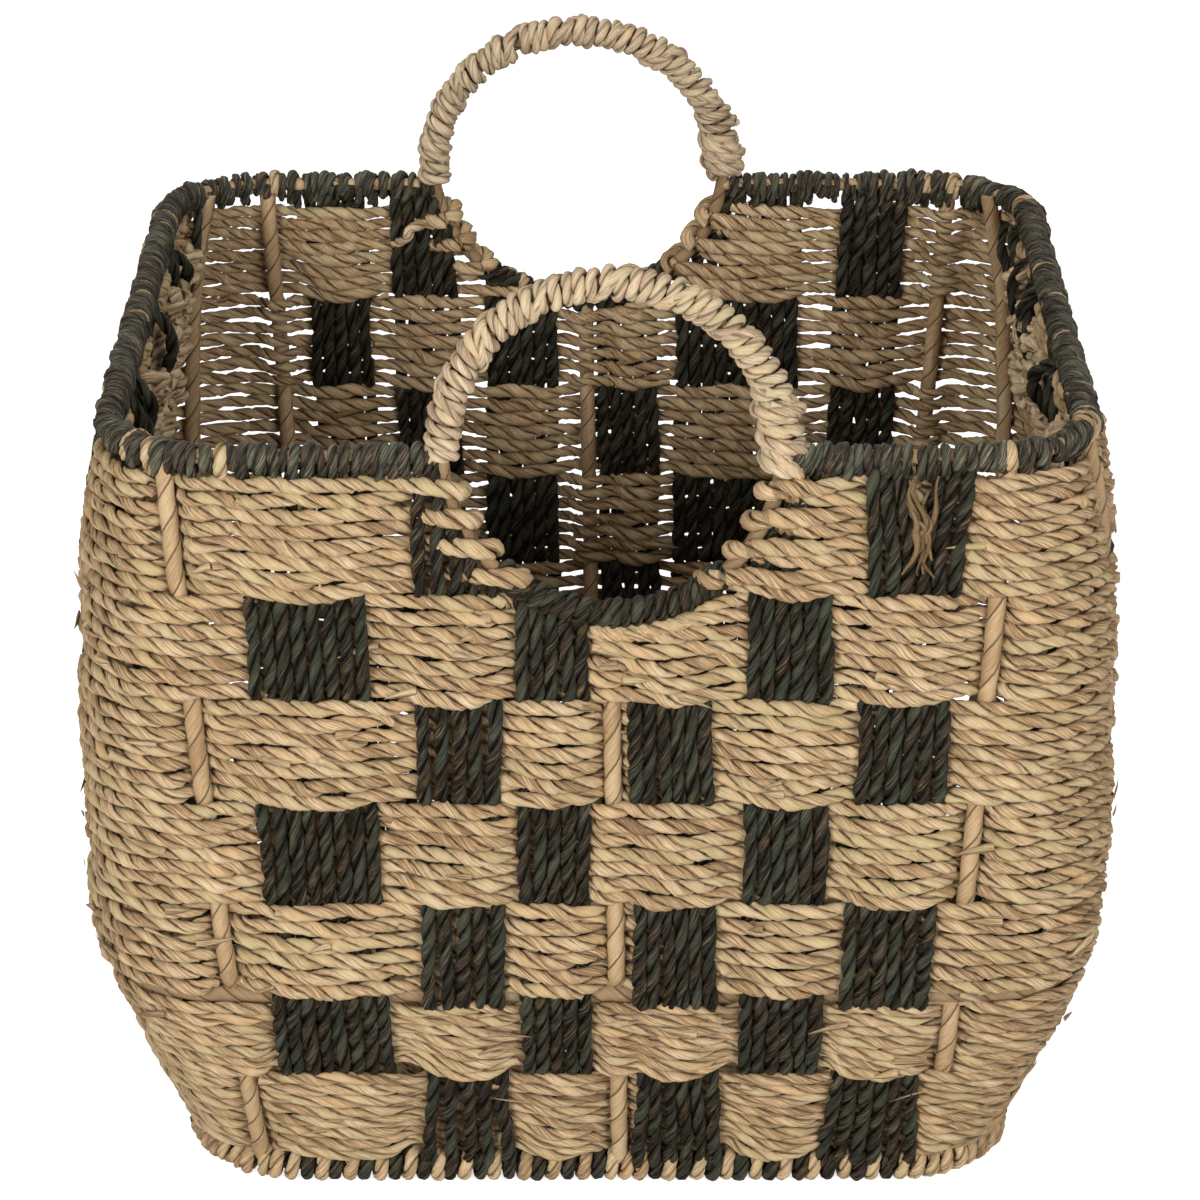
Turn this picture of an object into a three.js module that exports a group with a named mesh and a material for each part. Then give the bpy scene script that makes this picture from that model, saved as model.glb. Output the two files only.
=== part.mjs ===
// Woven magazine basket on a wire frame, with two round ring handles.
// Millimetres, +Z up, origin on the ground under the middle of the basket, front towards -Y.

import * as THREE from "three";

// Frame sizes
const rimHalfWidth = 165.5;
const rimHalfDepth = 149;
const shoulderBulge = { width: 7.5, depth: 4.5 };
const bellyBulge = { width: 10.2, depth: 6 };
const hoopBulge = { width: 6, depth: 1.5 };
const footInset = { width: 22, depth: 22.5 };
const cornerRadius = 38;
const wireRadius = 2.5;
const rodRadius = 3;
const hoopRadius = 3.5;
const footRadius = 6;
const shoulderDrop = 48;
const bellyRise = 44;

// Weave sizes
const ropePitch = 4.8;
const ropeThickness = 4.2;
const warpThickness = 4.2;
const rowGap = 4.5;
const weaveClearance = 0.6;
const edgeClearance = 0.6;
const dipClearance = 2.6;

// Seats: pieces that touch on the real basket lie this far apart
const seat = 0.3;

// Ring handle sizes
const ringRadius = 56.6;
const frontRingRise = 2.4;
const backRingRise = 7.6;
const ringLean = THREE.MathUtils.degToRad(6);
const frontRingPlace = 4.8;
const backRingPlace = 7.8;
const ropeLoopWidth = 4;
const narrowWarp = 8;
const notchArcShare = 0.12;
const underRingShare = 0.5;

// Winding sizes
const handleStrand = { width: 6.2, thickness: 3 };
const rimStrand = { width: 8, thickness: 2.2 };
const notchStrand = { width: 3.9, thickness: 1.8 };
const windingClearance = 0.4;
const crownShare = 0.3;

// Base sizes
const baseThickness = 5;
const baseLift = 3;

// Counts
const rowRopeCounts = [8, 7, 7, 7, 6, 5, 7];
const hoopAboveRow = 6;
const handleLoops = 24;
const rimLoops = 24;
const notchLoops = 8;
const sideWarps = 6;
const firstRowSteps = 4;

// Seagrass, wrapped rods and painted wire, as colours
const finishes = {
  natural: { color: 0xc4a877, roughness: 0.85, metalness: 0 },
  dark: { color: 0x3d413a, roughness: 0.8, metalness: 0 },
  rod: { color: 0xb08f5e, roughness: 0.75, metalness: 0 },
  wire: { color: 0x35302b, roughness: 0.5, metalness: 0.6 },
};

// Where each face's warps and rods stand, as shares of the face's half length at the rim.
// A warp or rod with rows "odd" passes outside the ropes in the odd rows, counted from the top.
const frontColumnShares = [
  { name: "rod_left", rows: "odd", rimShare: -0.876, footShare: -0.725 },
  { name: "warp_1", rows: "even", rimShare: -0.604, footShare: -0.545, widthShare: 0.24 },
  { name: "warp_2", rows: "odd", rimShare: -0.29, footShare: -0.278, widthShare: 0.17 },
  { name: "warp_3", rows: "even", rimShare: -0.097, footShare: -0.084, widthShare: 0.145 },
  { name: "rod_middle", rows: "odd", rimShare: 0.02, footShare: 0.048 },
  { name: "warp_4", rows: "odd", rimShare: 0.136, footShare: 0.174, widthShare: 0.165 },
  { name: "warp_5", rows: "even", rimShare: 0.391, footShare: 0.382, widthShare: 0.165 },
  { name: "warp_6", rows: "odd", rimShare: 0.65, footShare: 0.577, widthShare: 0.18 },
  { name: "rod_right", rows: "even", rimShare: 0.828, footShare: 0.715 },
];
const backColumnShares = [
  { name: "rod_left", rows: "odd", rimShare: -0.83, footShare: -0.72 },
  { name: "warp_1", rows: "even", rimShare: -0.655, footShare: -0.59, widthShare: 0.15 },
  { name: "warp_2", rows: "odd", rimShare: -0.337, footShare: -0.32, widthShare: 0.28 },
  { name: "warp_3", rows: "even", rimShare: -0.062, footShare: -0.09, widthShare: 0.14 },
  { name: "rod_middle", rows: "even", rimShare: 0.036, footShare: 0.006 },
  { name: "warp_4", rows: "odd", rimShare: 0.185, footShare: 0.185, widthShare: 0.165 },
  { name: "warp_5", rows: "even", rimShare: 0.42, footShare: 0.39, widthShare: 0.15 },
  { name: "warp_6", rows: "odd", rimShare: 0.628, footShare: 0.58, widthShare: 0.14 },
  { name: "rod_right", rows: "even", rimShare: 0.785, footShare: 0.7 },
];
const sideWarpSpacingShare = 0.25;
const sideWarpWidthShare = 0.165;
const sideRodShare = 0.82;
const sideTaperShare = 0.88;

// Rows of rope bands, stacked from the foot up, with the middle hoop between two of them
const footLevel = footRadius;
const footTop = footLevel + footRadius;
const rows = [];
let nextLevel = footTop + rowGap;
let hoopLevel = nextLevel;
for (let row = rowRopeCounts.length; row > 0; row -= 1) {
  const bottom = nextLevel;
  const top = bottom + rowRopeCounts[row - 1] * ropePitch;
  rows.unshift({ row, bottom, top, parity: row % 2 === 1 ? "odd" : "even" });
  nextLevel = top + rowGap;
  if (row === hoopAboveRow) {
    hoopLevel = nextLevel + hoopRadius;
    nextLevel = hoopLevel + hoopRadius + rowGap;
  }
}

// Offsets from the wall's middle surface, outwards positive
const weftOut = (ropeThickness + warpThickness) / 4 + weaveClearance / 2;
const warpOut = weftOut;
const rodOffset = -(rodRadius + weaveClearance);
const weftOverRod = rodOffset + rodRadius + weaveClearance + ropeThickness / 2;
const weftBehindRod = rodOffset - rodRadius - weaveClearance - ropeThickness / 2;
const hoopOffset = weaveClearance;
const warpOverHoop = hoopOffset + hoopRadius + seat + warpThickness / 2;
const rodBehindHoop = hoopOffset - hoopRadius - weaveClearance - rodRadius;

// Reach of a strand that winds round a wire, measured from the wire's middle
const windingSteps = 8;
function reachOf(strand) {
  return (wireRadius + windingClearance + strand.thickness / 2) / Math.cos(Math.PI / windingSteps);
}
const rimStrandReach = reachOf(rimStrand) + rimStrand.thickness / 2;
const rimBindingReach = Math.hypot(rimStrandReach, rimStrand.width * crownShare);
const notchReach = reachOf(notchStrand) + notchStrand.thickness / 2;
const handleReach = reachOf(handleStrand) + handleStrand.thickness / 2;
const rimLevel = rows[0].top + edgeClearance + rimBindingReach;
const standTop = rimLevel - rimBindingReach - seat;

// The wall's middle surface: a rounded rectangle whose half sizes change smoothly with height
const wallLevels = [footLevel, hoopLevel, hoopLevel + bellyRise, rimLevel - shoulderDrop, rimLevel];
function wallHalves(rimHalf, way) {
  return [
    rimHalf - footInset[way],
    rimHalf + hoopBulge[way],
    rimHalf + bellyBulge[way],
    rimHalf + shoulderBulge[way],
    rimHalf,
  ];
}
const wallHalfWidths = wallHalves(rimHalfWidth, "width");
const wallHalfDepths = wallHalves(rimHalfDepth, "depth");

function alongWall(halves, level) {
  const last = wallLevels.length - 1;
  let i = 0;
  while (i < last - 1 && level > wallLevels[i + 1]) i += 1;
  const slopeAt = (k) => {
    const low = Math.max(k - 1, 0);
    const high = Math.min(k + 1, last);
    return (halves[high] - halves[low]) / (wallLevels[high] - wallLevels[low]);
  };
  const span = wallLevels[i + 1] - wallLevels[i];
  const t = (level - wallLevels[i]) / span;
  const rest = 1 - t;
  const fromLow = halves[i] * (1 + 2 * t) * rest * rest + slopeAt(i) * span * t * rest * rest;
  const fromHigh = halves[i + 1] * t * t * (1 + 2 * rest) - slopeAt(i + 1) * span * t * t * rest;
  return fromLow + fromHigh;
}

// The four faces, each seen from outside with its places running to the right
function sideColumns() {
  const columns = [{ name: "rod_left", rows: "odd", rimShare: -sideRodShare }];
  for (let i = 0; i < sideWarps; i += 1) {
    const rimShare = (i - (sideWarps - 1) / 2) * sideWarpSpacingShare;
    const parity = i % 2 === 0 ? "even" : "odd";
    columns.push({ name: `warp_${i + 1}`, rows: parity, rimShare, widthShare: sideWarpWidthShare });
  }
  columns.push({ name: "rod_right", rows: "even", rimShare: sideRodShare });
  return columns.map((column) => ({ ...column, footShare: column.rimShare * sideTaperShare }));
}

const frontRing = { ring: frontRingPlace, rise: frontRingRise };
const backRing = { ring: backRingPlace, rise: backRingRise };
const faces = [
  { name: "front", turn: 0, half: rimHalfWidth, columns: frontColumnShares, ...frontRing },
  { name: "right", turn: 1, half: rimHalfDepth, columns: sideColumns() },
  { name: "back", turn: 2, half: rimHalfWidth, columns: backColumnShares, ...backRing },
  { name: "left", turn: 3, half: rimHalfDepth, columns: sideColumns() },
];

function turnToFace(face, along, outwards, level) {
  const angle = (face.turn * Math.PI) / 2;
  const x = along * Math.cos(angle) + outwards * Math.sin(angle);
  const y = along * Math.sin(angle) - outwards * Math.cos(angle);
  return new THREE.Vector3(x, y, level);
}

function faceHalves(face, level) {
  const width = alongWall(wallHalfWidths, level);
  const depth = alongWall(wallHalfDepths, level);
  return face.turn % 2 === 0 ? { length: width, out: depth } : { length: depth, out: width };
}

// A point of the wall, at a place along a face; past the flat stretch it lies on the corner's arc
function wallPoint(face, place, level, offset) {
  const halves = faceHalves(face, level);
  const flat = halves.length - cornerRadius;
  const past = Math.max(Math.abs(place) - flat, 0);
  const sine = Math.min(past / cornerRadius, 1);
  const reach = cornerRadius + offset;
  const along = Math.sign(place) * (Math.min(Math.abs(place), flat) + sine * reach);
  const outwards = halves.out - cornerRadius + Math.sqrt(1 - sine * sine) * reach;
  return turnToFace(face, along, outwards, level);
}

function cornerPlace(face, level, angle) {
  return faceHalves(face, level).length - cornerRadius + cornerRadius * Math.sin(angle);
}

function columnPlace(face, column, level) {
  const share = column.footShare + ((column.rimShare - column.footShare) * level) / rimLevel;
  return share * face.half;
}

// The levels at which a row's pieces are drawn; the first row has more, to follow the rings
function rowLevels(row) {
  const steps = row.row === 1 ? firstRowSteps : 1;
  return Array.from({ length: steps + 1 }, (_, i) => row.bottom + ((row.top - row.bottom) * i) / steps);
}

function ringLevel(face) {
  return rimLevel + face.rise * Math.cos(ringLean);
}

// Half the width that a ring with room for what lies round its wire takes up at a level
function ringChord(face, level, room) {
  const reach = ringRadius + room;
  return Math.sqrt(Math.max(reach * reach - (level - ringLevel(face)) ** 2, 0));
}

function ringUnderside(face, place, room) {
  const reach = ringRadius + room;
  return ringLevel(face) - Math.sqrt(Math.max(reach * reach - (place - face.ring) ** 2, 0));
}

function straightEdges(face, column, level) {
  const middle = columnPlace(face, column, level);
  const halfWidth = (column.widthShare * face.half) / 2;
  return { left: middle - halfWidth, right: middle + halfWidth };
}

// A warp's two edges at a level; beside a ring it leaves room for the loops of rope
function warpEdges(face, column, level) {
  const middle = columnPlace(face, column, level);
  const edges = straightEdges(face, column, level);
  if (face.ring !== undefined && level > rows[1].top) {
    const chord = ringChord(face, level, ropeLoopWidth);
    if (middle < face.ring - chord / 2) {
      edges.right = Math.min(edges.right, face.ring - chord);
      edges.left = Math.min(edges.left, edges.right - narrowWarp);
    } else {
      edges.left = Math.max(edges.left, face.ring + chord);
      edges.right = Math.max(edges.right, edges.left + narrowWarp);
    }
  }
  return edges;
}

function besideRing(face, column) {
  const edges = warpEdges(face, column, rows[0].top);
  const straight = straightEdges(face, column, rows[0].top);
  return edges.left !== straight.left || edges.right !== straight.right;
}

function underRing(face, column) {
  if (face.ring === undefined) return false;
  return Math.abs(columnPlace(face, column, rows[1].top) - face.ring) < ringRadius * underRingShare;
}

// The top of what stands under a ring, or under the first row where the ring is high
function topUnderRing(face, place) {
  return Math.min(ringUnderside(face, place, notchReach) - seat, rows[0].bottom - edgeClearance);
}

// A closed body lofted through rings of points, turned so that its faces point outwards.
// A section runs up one side and back down the other, so its ends close like a ladder, and
// the diagonals of its two sides match, so that a twisted body keeps its thickness.
function loft(name, finish, rings, closed = false) {
  const size = rings[0].length;
  const points = rings.flat();
  const index = [];
  const steps = closed ? rings.length : rings.length - 1;
  for (let i = 0; i < steps; i += 1) {
    const low = i * size;
    const high = ((i + 1) % rings.length) * size;
    for (let j = 0; j < size; j += 1) {
      const k = (j + 1) % size;
      if (j < size / 2) index.push(low + j, low + k, high + k, low + j, high + k, high + j);
      else index.push(low + j, low + k, high + j, low + k, high + k, high + j);
    }
  }
  if (!closed) {
    const last = (rings.length - 1) * size;
    for (let j = 0; j < size / 2 - 1; j += 1) {
      const across = size - 1 - j;
      index.push(j, across, across - 1, j, across - 1, j + 1);
      index.push(last + j, last + j + 1, last + across - 1, last + j, last + across - 1, last + across);
    }
  }
  let volume = 0;
  for (let i = 0; i < index.length; i += 3) {
    const [a, b, c] = [points[index[i]], points[index[i + 1]], points[index[i + 2]]];
    volume += a.dot(b.clone().cross(c));
  }
  if (volume < 0) index.reverse();
  const geometry = new THREE.BufferGeometry().setFromPoints(points);
  geometry.setIndex(index);
  geometry.computeVertexNormals();
  return makeMesh(name, finish, geometry);
}

function makeMesh(name, finish, geometry) {
  const mesh = new THREE.Mesh(geometry, new THREE.MeshStandardMaterial(finishes[finish]));
  mesh.name = name;
  return mesh;
}

// Rope bands: each is one row of ropes side by side, woven in and out of the warps and rods
function bandRing(row, face, placeAt, offset) {
  const levels = rowLevels(row);
  if (row.row === 2) levels[levels.length - 1] = dippedTop(row, face, placeAt(row.top));
  const outer = levels.map((level) => [level, offset + ropeThickness / 2]);
  const inner = levels.map((level) => [level, offset - ropeThickness / 2]).reverse();
  return [...outer, ...inner].map(([level, out]) => {
    const low = wallPoint(face, placeAt(level), row.bottom, out);
    const high = wallPoint(face, placeAt(level), row.top, out);
    return low.lerp(high, (level - row.bottom) / (row.top - row.bottom));
  });
}

// The second row dips where a ring's lowest point hangs over it
function dippedTop(row, face, place) {
  if (face.ring === undefined) return row.top;
  return Math.min(row.top, ringUnderside(face, place, notchReach) - dipClearance);
}

// A rod next to a warp of the same parity shares the rope's pass with it
function sharesPass(column, neighbour) {
  return neighbour !== undefined && neighbour.name === "rod_middle" && neighbour.rows === column.rows;
}

function bandStationsOnFace(row, face, columns) {
  const rings = [];
  const half = rodRadius + edgeClearance;
  columns.forEach((column, i) => {
    const outside = column.rows === row.parity;
    if (column.widthShare === undefined) {
      const offset = outside ? weftBehindRod : weftOverRod;
      for (const side of [-1, 1]) {
        const place = (level) => columnPlace(face, column, level) + side * half;
        rings.push(bandRing(row, face, place, offset));
      }
      return;
    }
    const offset = outside ? -weftOut : weftOut;
    const left = (level) => warpEdges(face, column, level).left - edgeClearance;
    const right = (level) => warpEdges(face, column, level).right + edgeClearance;
    if (!sharesPass(column, columns[i - 1])) rings.push(bandRing(row, face, left, offset));
    if (!sharesPass(column, columns[i + 1])) rings.push(bandRing(row, face, right, offset));
  });
  return rings;
}

function bandCorner(row, face) {
  const spread = (rodRadius + edgeClearance) / cornerRadius;
  return [-spread, spread].map((turn) => {
    const place = (level) => cornerPlace(face, level, Math.PI / 4 + turn);
    return bandRing(row, face, place, weftOverRod);
  });
}

// The ends seat on the ring's wire, or clear its notch winding where that reaches into the row
function bandEnd(row, face, side) {
  const notchEnds = ringLevel(face) - ringRadius * Math.cos(notchArcShare * Math.PI);
  const room = notchEnds > row.bottom ? notchReach + dipClearance : wireRadius + seat;
  return bandRing(row, face, (level) => face.ring + side * ringChord(face, level, room), 0);
}

function columnsBeside(face, side) {
  return face.columns.filter((column) => {
    const place = columnPlace(face, column, rows[0].bottom);
    return !underRing(face, column) && Math.sign(place - face.ring) === side;
  });
}

function makeBands() {
  const [front, right, back, left] = faces;
  const bands = [];
  const halves = [
    { name: "band_1_right", from: front, side: right, to: back },
    { name: "band_1_left", from: back, side: left, to: front },
  ];
  for (const half of halves) {
    bands.push(loft(half.name, "natural", [
      bandEnd(rows[0], half.from, 1),
      ...bandStationsOnFace(rows[0], half.from, columnsBeside(half.from, 1)),
      ...bandCorner(rows[0], half.from),
      ...bandStationsOnFace(rows[0], half.side, half.side.columns),
      ...bandCorner(rows[0], half.side),
      ...bandStationsOnFace(rows[0], half.to, columnsBeside(half.to, -1)),
      bandEnd(rows[0], half.to, -1),
    ]));
  }
  for (const row of rows.slice(1)) {
    const rings = [];
    for (const face of faces) {
      rings.push(...bandStationsOnFace(row, face, face.columns));
      rings.push(...bandCorner(row, face));
    }
    bands.push(loft(`band_${row.row}`, "natural", rings, true));
  }
  return bands;
}

// Warps: flat groups of dark ropes that run down the wall and change sides between the bands
function warpLevels(face, column) {
  const hidden = underRing(face, column);
  const levels = [];
  for (const row of rows) {
    if (hidden && row.row === 1) continue;
    const offset = column.rows === row.parity ? warpOut : -warpOut;
    const atTop = row.row === 1 || (hidden && row.row === 2);
    if (!atTop) levels.push({ level: row.top + edgeClearance, offset });
    if (row.row === 1) levels.push({ level: standTop, offset });
    if (hidden && row.row === 2) levels.push({ underRing: true, offset });
    if (row.row === 1 && besideRing(face, column)) {
      const between = rowLevels(row).slice(1, -1).reverse();
      levels.push(...between.map((level) => ({ level, offset })));
    }
    const bottom = row.row === rows.length ? footTop + seat : row.bottom - edgeClearance;
    levels.push({ level: bottom, offset });
    if (row.row === hoopAboveRow - 1) {
      levels.push({ level: hoopLevel + hoopRadius + seat, offset: warpOverHoop });
      levels.push({ level: hoopLevel - hoopRadius - seat, offset: warpOverHoop });
    }
  }
  return levels;
}

function makeWarp(face, column) {
  const rings = warpLevels(face, column).map((station) => {
    const base = station.underRing ? rows[1].top : station.level;
    const edges = warpEdges(face, column, base);
    const sag = (edges.right - edges.left) ** 2 / (4 * ringRadius);
    const levelAt = (place) => {
      return station.underRing ? topUnderRing(face, place) - sag : station.level;
    };
    const corners = [
      [edges.left, station.offset - warpThickness / 2],
      [edges.right, station.offset - warpThickness / 2],
      [edges.right, station.offset + warpThickness / 2],
      [edges.left, station.offset + warpThickness / 2],
    ];
    return corners.map(([place, offset]) => wallPoint(face, place, levelAt(place), offset));
  });
  return loft(`${face.name}_${column.name}`, "dark", rings);
}

// Rods: leaf-wrapped uprights just inside the wall, from the foot to the rim, bent in behind the hoop
function rodStations(top) {
  const stations = [{ level: footTop + seat, offset: rodOffset }];
  for (let row = rows.length - 1; row > 0; row -= 1) {
    const low = rows[row].top;
    const high = rows[row - 1].bottom;
    if (row === hoopAboveRow - 1) {
      stations.push({ level: low, offset: rodOffset });
      stations.push({ level: hoopLevel, offset: rodBehindHoop });
      stations.push({ level: high, offset: rodOffset });
    } else {
      stations.push({ level: (low + high) / 2, offset: rodOffset });
    }
  }
  return [...stations.filter(({ level }) => level < top - ropePitch), { level: top, offset: rodOffset }];
}

function makeRod(name, face, placeAt, top) {
  const sides = 6;
  const rings = rodStations(top).map(({ level, offset }) => {
    const middle = wallPoint(face, placeAt(level), level, offset);
    const outer = wallPoint(face, placeAt(level), level, offset + rodRadius);
    const outwards = outer.sub(middle).normalize();
    const across = new THREE.Vector3(0, 0, 1).cross(outwards);
    return Array.from({ length: sides }, (_, i) => {
      const angle = (i * 2 * Math.PI) / sides;
      const point = middle.clone().addScaledVector(outwards, rodRadius * Math.cos(angle));
      return point.addScaledVector(across, rodRadius * Math.sin(angle));
    });
  });
  return loft(name, "rod", rings);
}

function makeStanding() {
  const pieces = [];
  for (const face of faces) {
    for (const column of face.columns) {
      if (column.widthShare !== undefined) {
        pieces.push(makeWarp(face, column));
      } else {
        const place = columnPlace(face, column, rows[1].top);
        const shortTop = underRing(face, column);
        const top = shortTop ? topUnderRing(face, place) : standTop;
        const name = `${face.name}_${column.name}`;
        pieces.push(makeRod(name, face, (level) => columnPlace(face, column, level), top));
      }
    }
    const corner = (level) => cornerPlace(face, level, Math.PI / 4);
    pieces.push(makeRod(`${face.name}_corner_rod`, face, corner, standTop));
  }
  return pieces;
}

// A round path of the wall at one level: points, outward directions and running length
function roundedPath(level, offset) {
  const [front] = faces;
  const halves = faceHalves(front, level);
  const flatX = halves.length - cornerRadius;
  const flatY = halves.out - cornerRadius;
  const radius = cornerRadius + offset;
  const arc = (radius * Math.PI) / 2;
  const parts = faces.map((face) => ({ face, flat: face.turn % 2 === 0 ? flatX : flatY }));
  const length = parts.reduce((sum, part) => sum + 2 * part.flat + arc, 0);
  const at = (distance) => {
    let rest = ((distance % length) + length) % length;
    for (const { face, flat } of parts) {
      const out = (face.turn % 2 === 0 ? flatY : flatX) + radius;
      if (rest <= 2 * flat) {
        const outwards = turnToFace(face, 0, 1, 0);
        return { point: turnToFace(face, rest - flat, out, level), outwards };
      }
      rest -= 2 * flat;
      if (rest <= arc) {
        const angle = rest / radius;
        const along = flat + radius * Math.sin(angle);
        const reach = out - radius + radius * Math.cos(angle);
        const outwards = turnToFace(face, Math.sin(angle), Math.cos(angle), 0);
        return { point: turnToFace(face, along, reach, level), outwards };
      }
      rest -= arc;
    }
    return at(0);
  };
  return { at, length, flatX, flatY, arc };
}

// Hoops: closed rounded rectangles of wire, with more stations round the corners
const hoopCornerSteps = 6;

function hoopStations(path) {
  const stations = [];
  let start = 0;
  for (const face of faces) {
    const flat = face.turn % 2 === 0 ? path.flatX : path.flatY;
    stations.push(start);
    for (let i = 0; i < hoopCornerSteps; i += 1) {
      stations.push(start + 2 * flat + (path.arc * i) / hoopCornerSteps);
    }
    start += 2 * flat + path.arc;
  }
  return stations;
}

function sectionAlong(path, distance, section) {
  const { point, outwards } = path.at(distance);
  return section.map(([out, up]) => {
    return point.clone().addScaledVector(outwards, out).add(new THREE.Vector3(0, 0, up));
  });
}

function roundSection(radius, sides) {
  return Array.from({ length: sides }, (_, i) => {
    const angle = ((i + 0.5) * 2 * Math.PI) / sides;
    return [radius * Math.cos(angle), radius * Math.sin(angle)];
  });
}

// The foot binding is a channel, open inwards, round the bottom hoop, with a flat underside
function footSection() {
  const bore = wireRadius + windingClearance;
  const cut = footRadius * Math.SQRT1_2;
  return [
    [-cut, -footRadius],
    [cut, -footRadius],
    [footRadius, -cut],
    [footRadius, cut],
    [cut, footRadius],
    [-cut, footRadius],
    [-cut, bore],
    [bore, bore],
    [bore, -bore],
    [-cut, -bore],
  ];
}

function makeHoops() {
  const middle = roundedPath(hoopLevel, hoopOffset);
  const bottom = roundedPath(footLevel, 0);
  const ringsOf = (path, section) => {
    return hoopStations(path).map((distance) => sectionAlong(path, distance, section));
  };
  return [
    loft("middle_hoop", "rod", ringsOf(middle, roundSection(hoopRadius, 8)), true),
    loft("bottom_hoop", "wire", ringsOf(bottom, roundSection(wireRadius, 6)), true),
    loft("foot_binding", "dark", ringsOf(bottom, footSection()), true),
  ];
}

// Rim wires: two halves of the rounded rectangle, each welded at its ends to both rings
function rimRun(side) {
  const path = roundedPath(rimLevel, 0);
  const frontEnd = path.flatX + frontRingPlace;
  const backEnd = 2 * path.flatX + 2 * path.flatY + 2 * path.arc + path.flatX + backRingPlace;
  const [front, , back] = faces;
  const frontChord = ringChord(front, rimLevel, 0);
  const backChord = ringChord(back, rimLevel, 0);
  if (side > 0) return { path, start: frontEnd + frontChord, end: backEnd - backChord };
  return { path, start: backEnd + backChord, end: frontEnd + path.length - frontChord };
}

function makeRimWire(side) {
  const { path, start, end } = rimRun(side);
  const gap = wireRadius + seat;
  const cornerSteps = 10;
  const distances = [start + gap];
  const shift = side > 0 ? 0 : 2 * (path.flatX + path.flatY + path.arc);
  for (const cornerStart of [2 * path.flatX, 2 * (path.flatX + path.flatY) + path.arc]) {
    for (let i = 0; i <= cornerSteps; i += 1) {
      distances.push(shift + cornerStart + (path.arc * i) / cornerSteps);
    }
  }
  distances.push(end - gap);
  const section = roundSection(wireRadius, 6);
  const rings = distances.map((distance) => sectionAlong(path, distance, section));
  return loft(side > 0 ? "rim_wire_right" : "rim_wire_left", "wire", rings);
}

// Windings: one flat strand wound round a wire, as one unbroken tube with straight ends
function makeWinding(name, finish, strand, loops, frameAt) {
  const reach = reachOf(strand);
  const middleAt = (turn) => {
    const { point, normal, side } = frameAt(turn / loops);
    const angle = turn * 2 * Math.PI;
    const out = normal.clone().multiplyScalar(Math.cos(angle)).addScaledVector(side, Math.sin(angle));
    return { point: point.clone().addScaledVector(out, reach), out };
  };
  const rings = [];
  const addRing = (point, out, along) => {
    const across = along.clone().cross(out).normalize();
    const corners = [
      [-strand.width / 2, -strand.thickness / 2],
      [strand.width / 2, -strand.thickness / 2],
      [strand.width * crownShare, strand.thickness / 2],
      [-strand.width * crownShare, strand.thickness / 2],
    ];
    rings.push(corners.map(([wide, high]) => {
      return point.clone().addScaledVector(across, wide).addScaledVector(out, high);
    }));
  };
  const directionAt = (turn) => {
    const span = 1 / windingSteps;
    const before = middleAt(Math.max(turn - span, 0)).point;
    return middleAt(Math.min(turn + span, loops)).point.sub(before).normalize();
  };
  const first = middleAt(0);
  const firstWay = directionAt(0);
  addRing(first.point.clone().addScaledVector(firstWay, -strand.thickness), first.out, firstWay);
  for (let i = 0; i <= loops * windingSteps; i += 1) {
    const { point, out } = middleAt(i / windingSteps);
    addRing(point, out, directionAt(i / windingSteps));
  }
  const last = middleAt(loops);
  const lastWay = directionAt(loops);
  addRing(last.point.clone().addScaledVector(lastWay, strand.thickness), last.out, lastWay);
  console.log(`${name}: least gap to itself ${leastGap(rings).toFixed(2)} mm`);
  return loft(name, finish, rings);
}

// The least distance between points of a winding that are at least half a loop apart
function leastGap(rings) {
  const halfLoop = Math.ceil(windingSteps / 2);
  let least = Infinity;
  for (let i = 0; i < rings.length; i += 1) {
    for (let j = i + halfLoop; j < Math.min(i + 4 * halfLoop, rings.length); j += 1) {
      for (const a of rings[i]) {
        for (const b of rings[j]) least = Math.min(least, a.distanceTo(b));
      }
    }
  }
  return least;
}

function makeRimBinding(side) {
  const { path, start, end } = rimRun(side);
  const margin = handleReach + rimStrand.width;
  const up = new THREE.Vector3(0, 0, 1);
  const frameAt = (share) => {
    const { point, outwards } = path.at(start + margin + (end - start - 2 * margin) * share);
    return { point, normal: outwards, side: up };
  };
  const name = side > 0 ? "rim_binding_right" : "rim_binding_left";
  return makeWinding(name, "dark", rimStrand, rimLoops, frameAt);
}

// Rings: full circles of wire, leaning in with the wall, with a handle winding and a notch winding
function ringFrame(face, angle) {
  const lean = turnToFace(face, 0, -Math.sin(ringLean), Math.cos(ringLean));
  const along = turnToFace(face, 1, 0, 0);
  const halves = faceHalves(face, rimLevel);
  const centre = turnToFace(face, face.ring, halves.out, rimLevel).addScaledVector(lean, face.rise);
  const normal = along.multiplyScalar(Math.cos(angle)).addScaledVector(lean, Math.sin(angle));
  const side = turnToFace(face, 0, Math.cos(ringLean), Math.sin(ringLean));
  return { point: centre.addScaledVector(normal, ringRadius), normal, side };
}

function makeRing(face) {
  const segments = 36;
  const section = roundSection(wireRadius, 6);
  const rings = Array.from({ length: segments }, (_, i) => {
    const { point, normal, side } = ringFrame(face, (i * 2 * Math.PI) / segments);
    return section.map(([out, across]) => {
      return point.clone().addScaledVector(normal, out).addScaledVector(side, across);
    });
  });
  return loft(`${face.name}_ring`, "wire", rings, true);
}

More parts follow.
